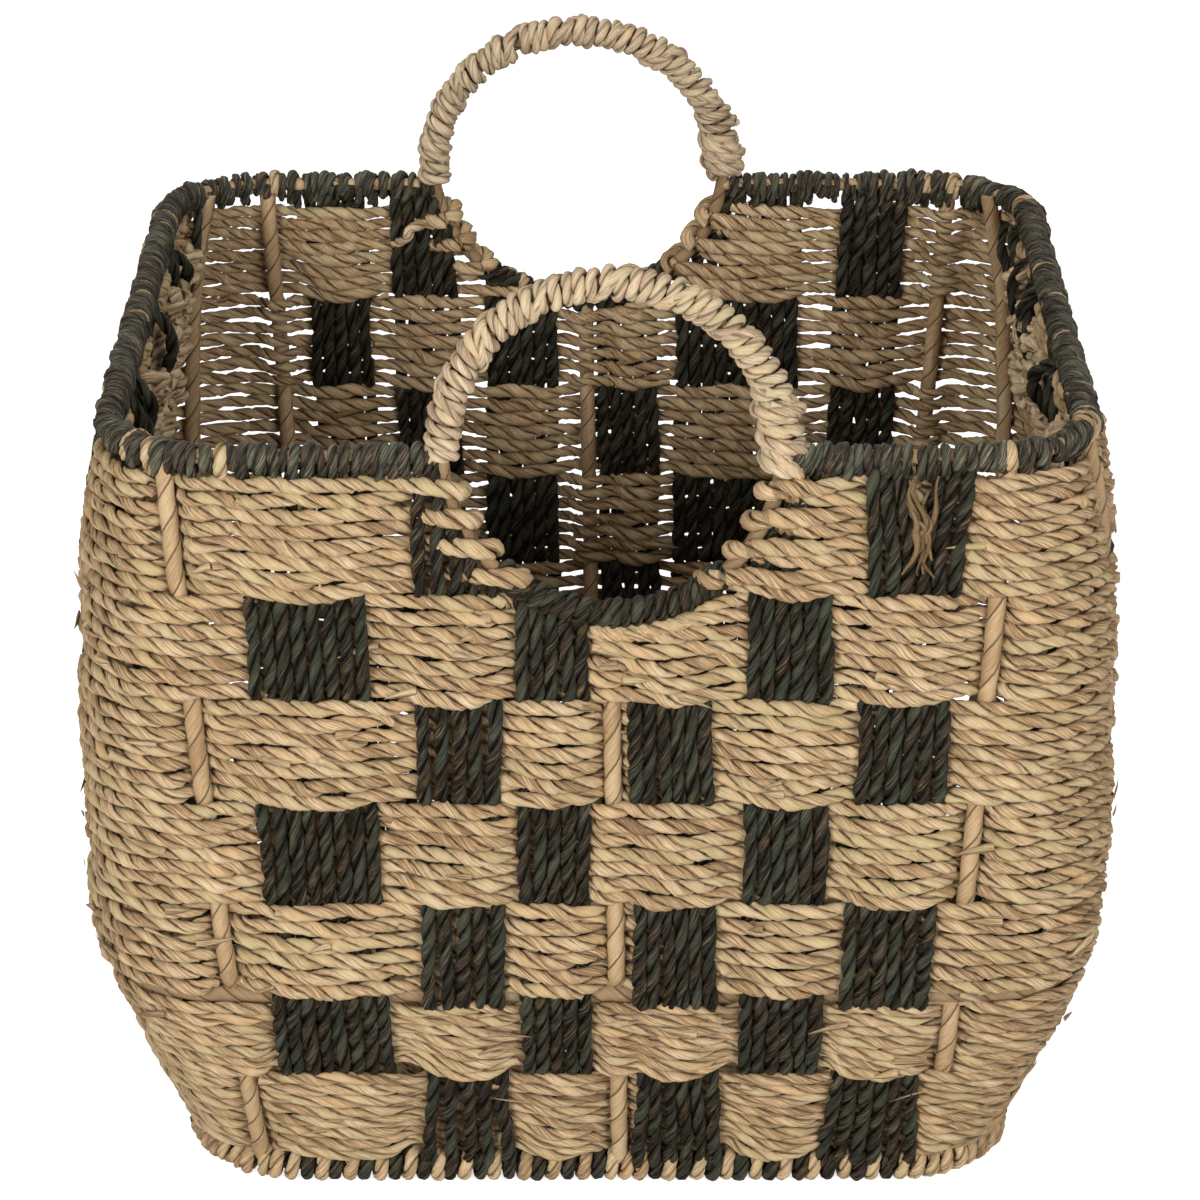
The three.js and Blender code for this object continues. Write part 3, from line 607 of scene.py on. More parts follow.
class Wall:
    """The wall's middle surface, drawn from the same sizes as the solids."""

    # How far the half width and the half depth differ from the rim's at each of the levels
    BULGES = ((-22, 6, 10.2, 7.5, 0), (-22.5, 1.5, 6, 4.5, 0))

    def __init__(self, sizes):
        self.corner = sizes.corner_radius
        self.quarter = self.corner * math.pi / 4
        self.half_at_rim = (sizes.rim_half_width, sizes.rim_half_depth)
        belly, shoulder = HOOP_LEVEL + sizes.belly_rise, RIM_LEVEL - sizes.shoulder_drop
        self.levels = np.array([FOOT_LEVEL, HOOP_LEVEL, belly, shoulder, RIM_LEVEL])
        pairs = zip(self.half_at_rim, self.BULGES)
        self.halves = [half + np.array(bulge) * MM for half, bulge in pairs]

    def half(self, way, level):
        """Half the wall's width (way 0) or depth (way 1) at a level, on a smooth curve."""
        levels, halves = self.levels, self.halves[way]
        last = len(levels) - 1
        low = np.maximum(np.arange(last + 1) - 1, 0)
        high = np.minimum(np.arange(last + 1) + 1, last)
        slopes = (halves[high] - halves[low]) / (levels[high] - levels[low])
        i = np.clip(np.searchsorted(levels, level, side="left") - 1, 0, last - 1)
        span = levels[i + 1] - levels[i]
        t = (level - levels[i]) / span
        rest = 1 - t
        start = halves[i] * (1 + 2 * t) * rest * rest + slopes[i] * span * t * rest * rest
        return start + halves[i + 1] * t * t * (1 + 2 * rest) - slopes[i + 1] * span * t * t * rest

    def face_halves(self, face, level):
        """Half the length of a face at a level, and how far out it stands."""
        wide, deep = self.half(0, level), self.half(1, level)
        even = face % 2 == 0
        return np.where(even, wide, deep), np.where(even, deep, wide)

    def flat(self, face, level):
        """Half the flat stretch of a face at a level."""
        return self.face_halves(face, level)[0] - self.corner

    def at(self, face, share, angle, level, offset):
        """Points and outward sides, from a share of the flat stretch and a corner's angle."""
        length, out = self.face_halves(face, level)
        reach = self.corner + offset
        along = share * (length - self.corner) + np.sin(angle) * reach
        away = out - self.corner + np.cos(angle) * reach
        cos, sin = np.cos(face * math.pi / 2), np.sin(face * math.pi / 2)
        point = along * cos + away * sin, along * sin - away * cos, level + 0 * along
        side, ahead = np.sin(angle), np.cos(angle)
        outward = side * cos + ahead * sin, side * sin - ahead * cos, 0 * along
        return np.stack(point, -1), np.stack(np.broadcast_arrays(*outward), -1)

    def place(self, face, place, level, offset):
        """Points at places in metres along a face, as the solids have them."""
        flat = self.flat(face, level)
        past = np.clip(np.abs(place) - flat, 0, self.corner) / self.corner
        share, angle = np.clip(place / flat, -1, 1), np.sign(place) * np.arcsin(past)
        return self.at(face, share, angle, level, offset)

    def starts(self, level):
        """The running length at the middle of each face, and the whole perimeter."""
        middles, total = [], 0.0
        for face in range(4):
            stretch = float(self.flat(face, level)) + self.quarter
            middles.append(total + stretch)
            total += 2 * stretch
        return middles, total

    def run_of(self, face, place, level):
        """The running length round the perimeter of a place on a face at a level."""
        flat = float(self.flat(face, level))
        past = min(max(abs(place) - flat, 0), self.corner * 0.9999)
        arc = self.corner * math.asin(past / self.corner)
        return self.starts(level)[0][face] + math.copysign(min(abs(place), flat) + arc, place)

    def unroll(self, run, level):
        """Face, share and angle of running lengths round the perimeter at a level."""
        middles, total = self.starts(level)
        run = np.mod(run, total)
        flats = np.array([float(self.flat(face, level)) for face in range(4)])
        edges = np.cumsum(2 * (flats + self.quarter))[:3]
        face = np.searchsorted(edges, run, side="right")
        local = run - np.array(middles)[face]
        flat = flats[face]
        past = np.clip(np.abs(local) - flat, 0, self.quarter)
        return face, np.clip(local / flat, -1, 1), np.sign(local) * past / self.corner

    def column(self, face, column, level):
        """Where a column's middle stands at a level, and half the width that it covers."""
        half = self.half_at_rim[face % 2]
        share = column.at_foot + (column.at_rim - column.at_foot) * level / RIM_LEVEL
        return share * half, column.width * half / 2


def under_ring(face, place):
    """Whether a ring's lower arc crosses a column at that place."""
    return face in RING_PLACES and abs(place - RING_PLACES[face]) < RING_RADIUS * 0.5


def ring_level(face):
    """The level of a ring's centre."""
    return RIM_LEVEL + RING_RISES[face] * math.cos(RING_LEAN)


def ring_chord(face, level):
    """Half the width of a ring at a level."""
    return np.sqrt(np.maximum(RING_RADIUS**2 - (level - ring_level(face)) ** 2, 0))


def ring_bottom(face, away, room=0.0):
    """The level of a ring's lower arc, with room round its wire, beside its middle."""
    return ring_level(face) - np.sqrt(np.maximum((RING_RADIUS + room) ** 2 - away**2, 0))


def between_rings(wall, side, level):
    """The stretch of one side's perimeter from ring to ring at a level, and the rings' faces."""
    faces = (FRONT, BACK) if side > 0 else (BACK, FRONT)
    chords = [float(ring_chord(face, level)) for face in faces]
    start = wall.run_of(faces[0], RING_PLACES[faces[0]] + chords[0], level)
    end = wall.run_of(faces[1], RING_PLACES[faces[1]] - chords[1], level)
    return start, end + wall.starts(level)[1] if end < start else end, faces


# ---------------------------------------------------------------- rows of natural rope


def row_profile(wall, row, level, passing):
    """How far out a row's ropes lie, how much they sag and how thick they are, by their run."""
    stations = []
    slack = 0.6 if row >= HOOP_ABOVE_ROW else 0.0
    middles, total = wall.starts(level)
    for face, columns in enumerate(COLUMNS):
        tight = {FRONT: 0.1, BACK: -0.03}.get(face, 0.04)
        reach = passing * (1.0 if face in RING_PLACES else 1.35)
        for column in columns:
            place, half = wall.column(face, column, level)
            if row == 1 and under_ring(face, place):
                continue
            middle_run = wall.run_of(face, place, level)
            outside = column.odd == (row % 2 == 1)
            if column.width:
                side = -reach if outside else reach
                inset = min(half * 0.3, 3 * MM)
                left = wall.run_of(face, place - half, level)
                right = wall.run_of(face, place + half, level)
                stations += [
                    (left - 1.5 * MM, side * 0.3, 0.0, 0.83 + tight),
                    (left + inset, side * 0.95, 0.45, 0.98),
                    (middle_run, side * 1.3, 1.0, 1.08),
                    (right - inset, side * 0.95, 0.45, 0.98),
                    (right + 1.5 * MM, side * 0.3, 0.0, 0.83 + tight),
                ]
                continue
            for along, out, belly, swell in PAST_ROD[outside]:
                station = (out * MM, max(slack, belly), swell + tight)
                stations.append((middle_run + along * MM, *station))
        corner_run = middles[face] + float(wall.flat(face, level)) + wall.quarter
        stations.append((corner_run, 2.6 * MM, slack, 0.88))
    stations.sort()
    grid = np.arange(0, total, GRID)
    runs, *fields = np.array(stations).T
    curves = [
        smoothed(np.interp(grid, runs, field, period=total), 2 * MM, "wrap") for field in fields
    ]
    return lambda run: [np.interp(np.mod(run, total), grid, line, period=total) for line in curves]


def rope_shares(row):
    """Each rope of a row: its share of the way down the row, and its level."""
    bottom, top = ROW_BOUNDS[row - 1]
    shares = [(k + 0.5) / ROW_ROPES[row - 1] for k in range(ROW_ROPES[row - 1])]
    return [(share, top + (bottom - top) * share) for share in shares]


def rope_line(wall, settings, rng, row, share, level, run):
    """Levels, offsets and thickness of one rope of a row; the first row is lower at the back."""
    offset, belly, swell = row_profile(wall, row, level, settings.weave_reach)(run)
    middles, total = wall.starts(level)
    away = np.mod(run - middles[BACK] + total / 2, total)
    behind = smooth_step(wall.half_at_rim[0] - np.abs(away - total / 2), 0, 25 * MM)
    low, high = ROW_BOUNDS[row - 1]
    high = high - (3 * MM * behind if row == 1 else 0)
    if row >= HOOP_ABOVE_ROW:
        belly = belly**0.55
        high = high + settings.belly_above * belly - 3 * MM * (1 - belly)
        low = low - settings.belly_below * 1.8 * belly + 4.2 * MM * (1 - belly)
        swell = swell * (0.8 + 0.16 * belly)
    else:
        high = high + settings.belly_above * belly
        low = low - settings.belly_below * belly
    line = high + (low - high) * share
    line = line + wander(rng, run, 0.65 * MM, 40 * MM) + wander(rng, run, 0.45 * MM, 15 * MM)
    return line, offset + wander(rng, run, 0.6 * MM, 26 * MM), swell


def full_row(wall, row, rng, settings):
    """The closed ropes of one row below the first."""
    paths = []
    for share, level in rope_shares(row):
        total = wall.starts(level)[1]
        count = int(total / settings.step)
        run = np.arange(count) * total / count + rng.uniform(0, total)
        line, offset, swell = rope_line(wall, settings, rng, row, share, level, run)
        if row == 2:
            line = dip_under_rings(wall, run, level, line, share)
        points, outward = wall.at(*wall.unroll(run, level), line, offset)
        paths.append(Path(points, outward, swell, rng.random(), closed=True))
    return paths


def dip_under_rings(wall, run, level, line, share):
    """The second row's ropes lie lower under a ring's lowest point."""
    total = wall.starts(level)[1]
    for face, place in RING_PLACES.items():
        away = np.abs(np.mod(run - wall.run_of(face, place, level) + total / 2, total) - total / 2)
        under = ring_bottom(face, away, 5.5 * MM)
        crowd = np.clip(line - under + 1.5 * MM, 0, None)
        line = line - crowd * (1 - share * 0.75)
    return line


def first_row(wall, side, rng, settings):
    """The first row's ropes on one side, joined in pairs round the rings' wires."""
    wrap = WIRE_RADIUS + ROPE_RADIUS
    lines = []
    for k, (share, level) in enumerate(rope_shares(1)):
        start, end, faces = between_rings(wall, side, level)
        run = np.linspace(start, end, int((end - start) / settings.step))
        line, offset, swell = rope_line(wall, settings, rng, 1, share, level, run)
        near = bell(np.minimum(run - start, end - run), 13 * MM)
        offset = offset * (1 - near) + (wrap if k % 2 == 0 else -wrap) * near
        line = line * (1 - near) + level * near
        points, outward = wall.at(*wall.unroll(run, level), line, offset)
        lines.append((level, points, outward, swell * (1 + 0.2 * near)))
    paths = []
    for (high, *upper), (low, *lower) in zip(lines[::2], lines[1::2]):
        at_end = ring_turn(wall, faces[1], -1, high, low, wrap)
        at_start = ring_turn(wall, faces[0], 1, high, low, wrap)
        back = [values[::-1] for values in lower]
        pieces = [upper, at_end, back, [values[::-1] for values in at_start]]
        points, outward, swell = (np.concatenate(values) for values in zip(*pieces))
        paths.append(Path(points, outward, swell, rng.random(), closed=True))
    return paths


def ring_turn(wall, face, side, high, low, wrap):
    """A rope's turn round the ring's wire, from outside to inside and one rope lower."""
    t = np.linspace(0, 1, 12)[1:-1]
    level = high + (low - high) * t
    wire = RING_PLACES[face] + side * ring_chord(face, level)
    place = wire - side * wrap * np.sin(math.pi * t)
    points, _ = wall.place(face, place, level, wrap * np.cos(math.pi * t))
    away = points - wall.place(face, wire, level, 0)[0]
    return points, away / np.linalg.norm(away, axis=1)[:, None], np.full(len(t), 1.2)


# ---------------------------------------------------------------- dark rope warps


def column_offset(odd, level, out, inside, reach):
    """How far out a warp or rod stands at each level, changing sides between the rows."""
    grid = np.arange(0, RIM_LEVEL + 10 * MM, GRID)
    line = np.zeros_like(grid)
    for row, (bottom, top) in enumerate(ROW_BOUNDS, 1):
        value = out if odd == (row % 2 == 1) else inside
        hump = np.sin(np.clip((grid - bottom) / (top - bottom), 0, 1) * math.pi)
        in_row = (grid >= bottom) & (grid < top)
        line = np.where(in_row, value * (0.85 + 0.25 * hump), line)
    line = np.where(grid < bottom, value * 0.9, line)
    return np.interp(level, grid, smoothed(line, reach, "edge"))


def warp_paths(wall, face, column, rng, settings):
    """The dark ropes of one warp, each up to the rim, or to the ring where that lies over it."""
    paths = []
    for i in range(column.ropes):
        lane = (i - (column.ropes - 1) / 2) / column.ropes * 2
        level = np.arange(FOOT_LEVEL + 2 * MM, RIM_LEVEL, settings.step)
        place, half = wall.column(face, column, level)
        fan = 1 + 0.18 * smooth_step(level, 45 * MM, 10 * MM)
        place = place + lane * half * fan * 1.06 + wander(rng, level, 0.6 * MM, 50 * MM)
        if column is FRAYED_WARP:
            parting = smooth_step(level, RIM_LEVEL - 34 * MM, RIM_LEVEL - 4 * MM)
            place = place + np.sign(lane) * 3.4 * MM * parting
        if face in RING_PLACES:
            away = np.abs(place - RING_PLACES[face])
            blocked = (away < RING_RADIUS) & (level > ring_bottom(face, away))
            if blocked.any():
                level, place = level[: int(np.argmax(blocked))], place[: int(np.argmax(blocked))]
        offset = column_offset(column.odd, level, WARP_REACH, -WARP_REACH, 1.7 * MM)
        over = bell(level - HOOP_LEVEL + 1 * MM, 3.4 * MM)
        over_hoop = HOOP_OFFSET + HOOP_RADIUS + ROPE_RADIUS
        offset = offset + (over_hoop - offset) * np.clip(over * 1.25, 0, 1)
        ending = smooth_step(level, level[-1] - 7 * MM, level[-1])
        offset = offset * (1 - ending) + 0.5 * MM * ending
        offset = offset + wander(rng, level, 0.25 * MM, 30 * MM)
        points, outward = wall.place(face, place, level, offset)
        paths.append(Path(points, outward, rng.uniform(0.93, 1.07), rng.random()))
    return paths


# ---------------------------------------------------------------- wound leaf


class Line:
    """A curve with two cross directions, read at any running length."""

    def __init__(self, points, out, up, closed=False):
        if closed:
            points, out, up = (np.vstack([values, values[:1]]) for values in (points, out, up))
        self.values, self.closed = (points, out, up), closed
        self.run = running_length(points)
        self.length = self.run[-1]

    def at(self, run):
        run = np.mod(run, self.length) if self.closed else np.clip(run, 0, self.length)
        read = lambda values: [np.interp(run, self.run, values[:, i]) for i in range(3)]
        return [np.stack(read(values), -1) for values in self.values]

    def core(self, rng):
        """A path along the line itself."""
        count = int(self.length / WRAP_STEP)
        run = np.linspace(0, self.length, count, endpoint=not self.closed)
        points, out, _ = self.at(run)
        return Path(points, out, 1.0, rng.random(), closed=self.closed)


def wind(line, pitch, radius, rng, jitter, swell=1.0):
    """One strand wound round a whole line; its radius may change along the line."""
    per_turn = math.hypot(FULL_TURN * np.mean(radius), pitch)
    count = max(int(line.length / pitch * per_turn / WRAP_STEP), 8)
    run = np.linspace(0, line.length, count)
    phase = FULL_TURN * run / pitch + wander(rng, run, jitter, pitch * 5)
    points, out, up = line.at(run)
    stations = np.linspace(0, 1, np.size(radius))
    radius = np.interp(run / line.length, stations, np.atleast_1d(radius))
    reach = (radius * (1 + wander(rng, run, jitter * 0.13, pitch * 2.5)))[:, None]
    around = out * np.cos(phase)[:, None] + up * np.sin(phase)[:, None]
    swell = swell + wander(rng, run, jitter * 0.14, pitch * 2)
    return Path(points + around * reach, around, swell, rng.random())


def wrap_loop(line, at, lean, reach, rng, swell, turns, start=math.pi):
    """One turn of a strand round a line; reach is how far it lies beside, above and below.

    swell holds its thickness at each of its points."""
    t = np.linspace(0, 1, len(swell))
    angle = start + FULL_TURN * turns * t
    points, out, up = line.at(at + (t - 0.5) * lean)
    cos, sin = np.cos(angle)[:, None], np.sin(angle)[:, None]
    beside, above, below = reach
    points = points + out * cos * beside + up * sin * np.where(sin > 0, above, below)
    return Path(points, out * cos + up * sin, swell, rng.random())


def rod_top(wall, face, column):
    """A rod goes up to the rim, or to the ring where that lies over it."""
    if column:
        place = float(wall.column(face, column, RIM_LEVEL - 40 * MM)[0])
        if under_ring(face, place):
            return float(ring_bottom(face, place - RING_PLACES[face]))
    return RIM_LEVEL + 1 * MM


def rod_line(wall, face, column):
    """A rod's middle line and outward sides; the column is None for the corner's rod."""
    level = np.arange(FOOT_LEVEL + 3 * MM, rod_top(wall, face, column), 2 * MM)
    if column is None:
        points, outward = wall.at(face, 1, math.pi / 4, level, ROD_INSIDE)
    else:
        offset = column_offset(column.odd, level, ROD_OUTSIDE, ROD_INSIDE, 4 * MM)
        over = bell(level - HOOP_LEVEL, 7 * MM)
        offset = offset + (ROD_AT_HOOP - offset) * over
        points, outward = wall.place(face, wall.column(face, column, level)[0], level, offset)
    side = np.cross(np.gradient(points, axis=0), outward)
    return Line(points, outward, side / np.linalg.norm(side, axis=1)[:, None])


def hoop_line(wall, level, offset):
    """A closed line round the wall at one level."""
    total = wall.starts(level)[1]
    run = np.linspace(0, total, int(total / (3 * MM)), endpoint=False)
    points, outward = wall.at(*wall.unroll(run, level), level, offset)
    return Line(points, outward, np.tile(UP, (len(points), 1)), closed=True)


def rim_line(wall, side):
    """The rim wire's middle line on one side, from ring to ring, and which face it runs along."""
    start, end, _ = between_rings(wall, side, RIM_LEVEL)
    face, share, angle = wall.unroll(np.arange(start, end, 2 * MM), RIM_LEVEL)
    points, outward = wall.at(face, share, angle, RIM_LEVEL, 0)
    return Line(points, outward, np.tile(UP, (len(points), 1))), face


def ring_line(wall, face, first, last, count=160):
    """Part of a ring's wire by angle: points, outward from its centre, and its front side."""
    angle = np.linspace(first, last, count)
    turn = face * math.pi / 2
    along = np.array([math.cos(turn), math.sin(turn), 0])
    ahead = np.array([math.sin(turn), -math.cos(turn), 0])
    lean = -math.sin(RING_LEAN) * ahead + math.cos(RING_LEAN) * UP
    front = math.cos(RING_LEAN) * ahead + math.sin(RING_LEAN) * UP
    out = float(wall.face_halves(face, RIM_LEVEL)[1])
    centre = along * RING_PLACES[face] + ahead * out + UP * RIM_LEVEL + lean * RING_RISES[face]
    normal = np.outer(np.cos(angle), along) + np.outer(np.sin(angle), lean)
    return Line(centre + normal * RING_RADIUS, normal, np.tile(front, (count, 1)))


# ---------------------------------------------------------------- materials


# How far a strand's fibres, fine fibres and long patches run, in waves per metre
FIBRE_WAVES, FINE_WAVES, PATCH_WAVES = 70.0, 240.0, 9.0
BLEACHED = (0.92, 0.82, 0.66)
# Painted shade where the plies of the natural rope meet
CLEFT_SHADE_BROWN = (0.12, 0.066, 0.03, 1)
# Painted shade where the plies of the dark rope meet
CLEFT_SHADE_BLACK = (0.002, 0.0013, 0.0008, 1)
# Painted shade along the edge of each turn of wound leaf
SEAM_SHADE_BROWN = (0.06, 0.034, 0.015, 1)
UNDYED = (0.3, 0.18, 0.08, 1)
NATURAL_AGING = (1, 1.12, 1.35)
WRAPPED_AGING = (1, 1.08, 1.2)


def empty_tree(owner):
    owner.use_nodes = True
    owner.node_tree.nodes.clear()
    return Tree(owner.node_tree)


def principled(name):
    made = bpy.data.materials.new(name)
    tree = empty_tree(made)
    shader = tree.node("ShaderNodeBsdfPrincipled")
    tree.node("ShaderNodeOutputMaterial", inputs={0: shader})
    return made, tree, shader.socket.node


def dress(tree, shader, base, roughness, relief, strength, depth, gloss):
    """Joins what varies over a leaf's surface to its shader, and sets its gloss."""
    tree.join(base, shader.inputs["Base Color"])
    tree.join(roughness, shader.inputs["Roughness"])
    inputs = {"Strength": strength, "Distance": depth, "Height": relief}
    tree.join(tree.node("ShaderNodeBump", inputs=inputs), shader.inputs["Normal"])
    shader.inputs["Specular IOR Level"].default_value = gloss


def stored(tree, label, out="Fac"):
    """A number or vector that the node groups stored on the piece."""
    return tree.node("ShaderNodeAttribute", {"attribute_name": label}, out=out)


def tinted(colour, factors):
    """A colour with each of its parts multiplied."""
    return tuple(value * factor for value, factor in zip(colour, factors))


def aged_leaves_and_painted_light(wear, aging, bleach=0.0):
    """The natural rope's three colours, bleached and worn, their blue more than their red; the same
    factors also make the knots' painted light and the middle hoop's painted shade.
    """
    colours = bpy.context.scene.basket_colours
    for colour in (colours.straw, colours.pale, colours.shade):
        bleached = (value + (white - value) * bleach for value, white in zip(colour, BLEACHED))
        yield tinted(bleached, [wear**power for power in aging])


def leaf_fibres(tree):
    """What a strand's finish is made of: two sizes of fibre, lobes, long patches and height, which
    places the painted shade between the plies.
    """
    run, rope, height = (stored(tree, label) for label in ("run", "rope", "height"))
    inwards, sidewards, ply = tree.parts(stored(tree, "section", "Vector"))
    own = rope * 173.0 + ply * 31.0
    along = tree.vector(run * FIBRE_WAVES, inwards * 4.0 + own, sidewards * 4.0)
    fibre = tree.noise(along, 1.0, 4.0, 0.65)
    along = tree.vector(run * FINE_WAVES, inwards * 9.0 + own, sidewards * 9.0)
    fine = tree.noise(along, 1.0, 2.0, 0.6)
    turn = (stored(tree, "turn") + 0.5).maths("FLOOR")
    place = tree.vector(turn * 0.37, own, ply * 4.0)
    settings = {"noise_dimensions": "3D"}
    lobes = tree.node("ShaderNodeTexWhiteNoise", settings, {"Vector": place}, "Value")
    patches = tree.noise(tree.vector(run * PATCH_WAVES, own + 40.0, 0.0), 1.0, 1.0, 0.5)
    return fibre, fine, lobes, patches, height


def natural_finish(name, bleach=0.0, wear=1.0):
    """Dried leaf: straw with paler and browner fibres, and painted shade, browner, where the plies
    meet.
    """
    made, tree, shader = principled(name)
    fibre, fine, lobes, patches, height = leaf_fibres(tree)
    tone = spread(fibre, 2.6) + spread(fine, 1.5) + spread(lobes, 0.4) + spread(patches, 0.7)
    straw, pale, shade = aged_leaves_and_painted_light(wear, NATURAL_AGING, bleach)
    deep = tinted(shade, (0.55, 0.55, 0.55))
    warm, green = tinted(straw, (1.02, 0.84, 0.58)), tinted(straw, (0.8, 0.92, 0.78))
    stops = [(0.02, deep), (0.24, shade), (0.52, straw), (0.95, pale)]
    body = tree.ramp(tone + 0.47, stops)
    warmed = tree.fit(lobes, 0.86, 0.94) * tree.fit(fibre, 0.4, 0.55) * 0.55
    body = tree.mix(warmed, body, (*warm, 1))
    body = tree.mix(tree.fit(patches, 0.52, 0.7) * 0.55, body, (*green, 1))
    # Painted shade: browner where a point lies low between the plies
    body = tree.mix(1.0 - tree.fit(height, 0.42, 0.9), body, CLEFT_SHADE_BROWN)
    roughness = tree.fit(fibre, 0.3, 0.7, 0.6, 0.85)
    dress(tree, shader, body, roughness, fibre * 0.7 + fine * 0.45, 0.9, 1.2 * MM, 0.2)
    return made


def wrapped_finish(name, wear):
    """Flat leaf wound round a rod: painted shade along each turn's edge, where it lies over the
    turn before, and fibres along the leaf.
    """
    made, tree, shader = principled(name)
    run, rope = stored(tree, "run"), stored(tree, "rope")
    inwards, sidewards, _ = tree.parts(stored(tree, "section", "Vector"))
    wound = run * LEAF_TURNS + wound_angle(inwards, sidewards) * LEAF_STARTS
    turn, leaf = wound.maths("FRACT"), wound.maths("FLOOR")
    across = inwards * 0.8 + sidewards * 0.8
    fibre = tree.noise(tree.vector(turn * 13.0, leaf * 7.0 + rope * 91.0, across), 1.0, 4.0, 0.6)
    patch = tree.noise(tree.vector(leaf * 3.0, rope * 53.0, inwards * 0.5), 1.0, 1.0, 0.5)
    straw, pale, shade = aged_leaves_and_painted_light(wear, WRAPPED_AGING)
    tone = spread(fibre, 1.3) + spread(patch, 1.0) + 0.5
    body = tree.ramp(tone, [(0.2, shade), (0.6, straw), (1.0, pale)])
    # Painted shade along each turn's edge, where it meets the turn before; the same mask also
    # shapes the bump
    seam = tree.fit(turn, 0.0, 0.09) * tree.fit(turn, 1.0, 0.95)
    body = tree.mix(1.0 - seam, body, SEAM_SHADE_BROWN)
    roughness = tree.fit(fibre, 0.3, 0.7, 0.55, 0.8)
    dress(tree, shader, body, roughness, fibre * 0.6 + seam * 0.6, 0.7, 0.6 * MM, 0.3)
    return made


def dark_finish(name, wear=1.0):
    """Dyed leaf: charcoal, with teal, plum and undyed fibres, and painted shade, near black, where
    the plies meet.
    """
    made, tree, shader = principled(name)
    fibre, fine, lobes, _, height = leaf_fibres(tree)
    tone = spread(fibre, 3.0) + spread(fine, 2.0) + spread(lobes, 0.45) + 0.47
    colours = bpy.context.scene.basket_colours
    charcoal = tuple(colours.charcoal)
    deep, grey = (tinted(charcoal, (factor,) * 3) for factor in (0.15, 4.5 * wear))
    body = tree.ramp(tone, [(0.28, deep), (0.52, charcoal), (0.9, grey)])
    greened = tree.fit(lobes, 0.6, 0.7) * tree.fit(fibre, 0.3, 0.6) * 0.5
    body = tree.mix(greened, body, (*colours.teal, 1))
    purpled = tree.fit(lobes, 0.32, 0.38) * tree.fit(lobes, 0.5, 0.44)
    body = tree.mix(purpled * tree.fit(fibre, 0.4, 0.65) * 0.45, body, (*colours.plum, 1))
    undyed = tree.fit(fine, 0.55, 0.65) * tree.fit(lobes, 0.25 * wear, 0.1 * wear)
    body = tree.mix(undyed * 0.8, body, UNDYED)
    # Painted shade: near black where a point lies low between the plies
    body = tree.mix(1.0 - tree.fit(height, 0.5, 1.05), body, CLEFT_SHADE_BLACK)
    roughness = tree.fit(fibre, 0.3, 0.7, 0.45, 0.7)
    dress(tree, shader, body, roughness, fibre * 0.7 + fine * 0.45, 0.9, 1.2 * MM, 0.12 * wear)
    return made


def wire_finish(name):
    """Painted steel wire, scuffed."""
    made, tree, shader = principled(name)
    scuffs = tree.noise(tree.node("ShaderNodeTexCoord", out="Object"), 900.0, 3.0, 0.6)
    paint = tree.ramp(scuffs, [(0.35, (0.02, 0.017, 0.014)), (0.7, (0.07, 0.06, 0.05))])
    tree.join(paint, shader.inputs["Base Color"])
    tree.join(tree.fit(scuffs, 0.3, 0.7, 0.35, 0.6), shader.inputs["Roughness"])
    shader.inputs["Metallic"].default_value = 0.5
    return made


FINISHES = {
    "natural_rope": (natural_finish, {}),
    "pale_rope": (natural_finish, {"bleach": 0.2, "wear": 1.05}),
    # The knots inside the side walls: natural rope paler and brighter, as painted light from above
    "knot_rope": (natural_finish, {"bleach": 0.05, "wear": 1.25}),
    "brown_rope": (natural_finish, {"wear": 0.45}),
    "wrapped_leaf": (wrapped_finish, {"wear": 0.7}),
    # A darker copy of the wrapped leaf; on the middle hoop it is painted shade, where the hoop lies
    # recessed between the rows
    "brown_leaf": (wrapped_finish, {"wear": 0.42}),
    "dark_rope": (dark_finish, {}),
    "rim_rope": (dark_finish, {"wear": 2.2}),
    "core_wire": (wire_finish, {}),
}


@functools.cache
def finish(name):
    """The finish of that name, made when it is first asked for."""
    maker, settings = FINISHES[name]
    return maker(name, **settings)


# ---------------------------------------------------------------- operators


# Where the random draws of each group of pieces start
DRAWS = {
    "first row": 1,
    "rows": 10,
    "warps": 30,
    "rods": 50,
    "hoops": 60,
    "rim": 70,
    "handles": 80,
    "foot": 90,
    "base": 95,
    "loose ends": 120,
}


def draws(settings, name, number=0):
    """The random draws of one group of pieces."""
    return np.random.default_rng(settings.seed * 1000 + DRAWS[name] + number)


def wall_and_ropes(context):
    return Wall(context.scene.basket_wall), context.scene.basket_ropes


class WeaveRows(bpy.types.Operator):
    """Weave the rows of natural rope round the basket"""

    bl_idname = "basket.weave_rows"
    bl_label = "Weave rows"

    def execute(self, context):
        wall, settings = wall_and_ropes(context)
        rope = "natural_rope"
        for number, (name, side) in enumerate((("1_right", 1), ("1_left", -1))):
            paths = first_row(wall, side, draws(settings, "first row", number), settings)
            lay(f"row_{name}", paths, "rope", rope, number, [f"band_{name}"])
        for row in range(2, ROW_COUNT + 1):
            paths = full_row(wall, row, draws(settings, "rows", row), settings)
            strand = "thin" if row >= HOOP_ABOVE_ROW else "rope"
            lay(f"row_{row}", paths, strand, rope, row, [f"band_{row}"])
        return {"FINISHED"}


class RunWarps(bpy.types.Operator):
    """Run the groups of dark rope up each face"""

    bl_idname = "basket.run_warps"
    bl_label = "Run warps"

    def execute(self, context):
        wall, settings = wall_and_ropes(context)
        for face, (name, warps) in enumerate(zip(FACE_NAMES, WARPS)):
            rng = draws(settings, "warps", face)
            paths = [path for warp in warps for path in warp_paths(wall, face, warp, rng, settings)]
            nodes = [f"{name}_{warp.name}" for warp in warps]
            lay(f"{name}_warps", paths, "warp", "dark_rope", face, nodes)
        return {"FINISHED"}


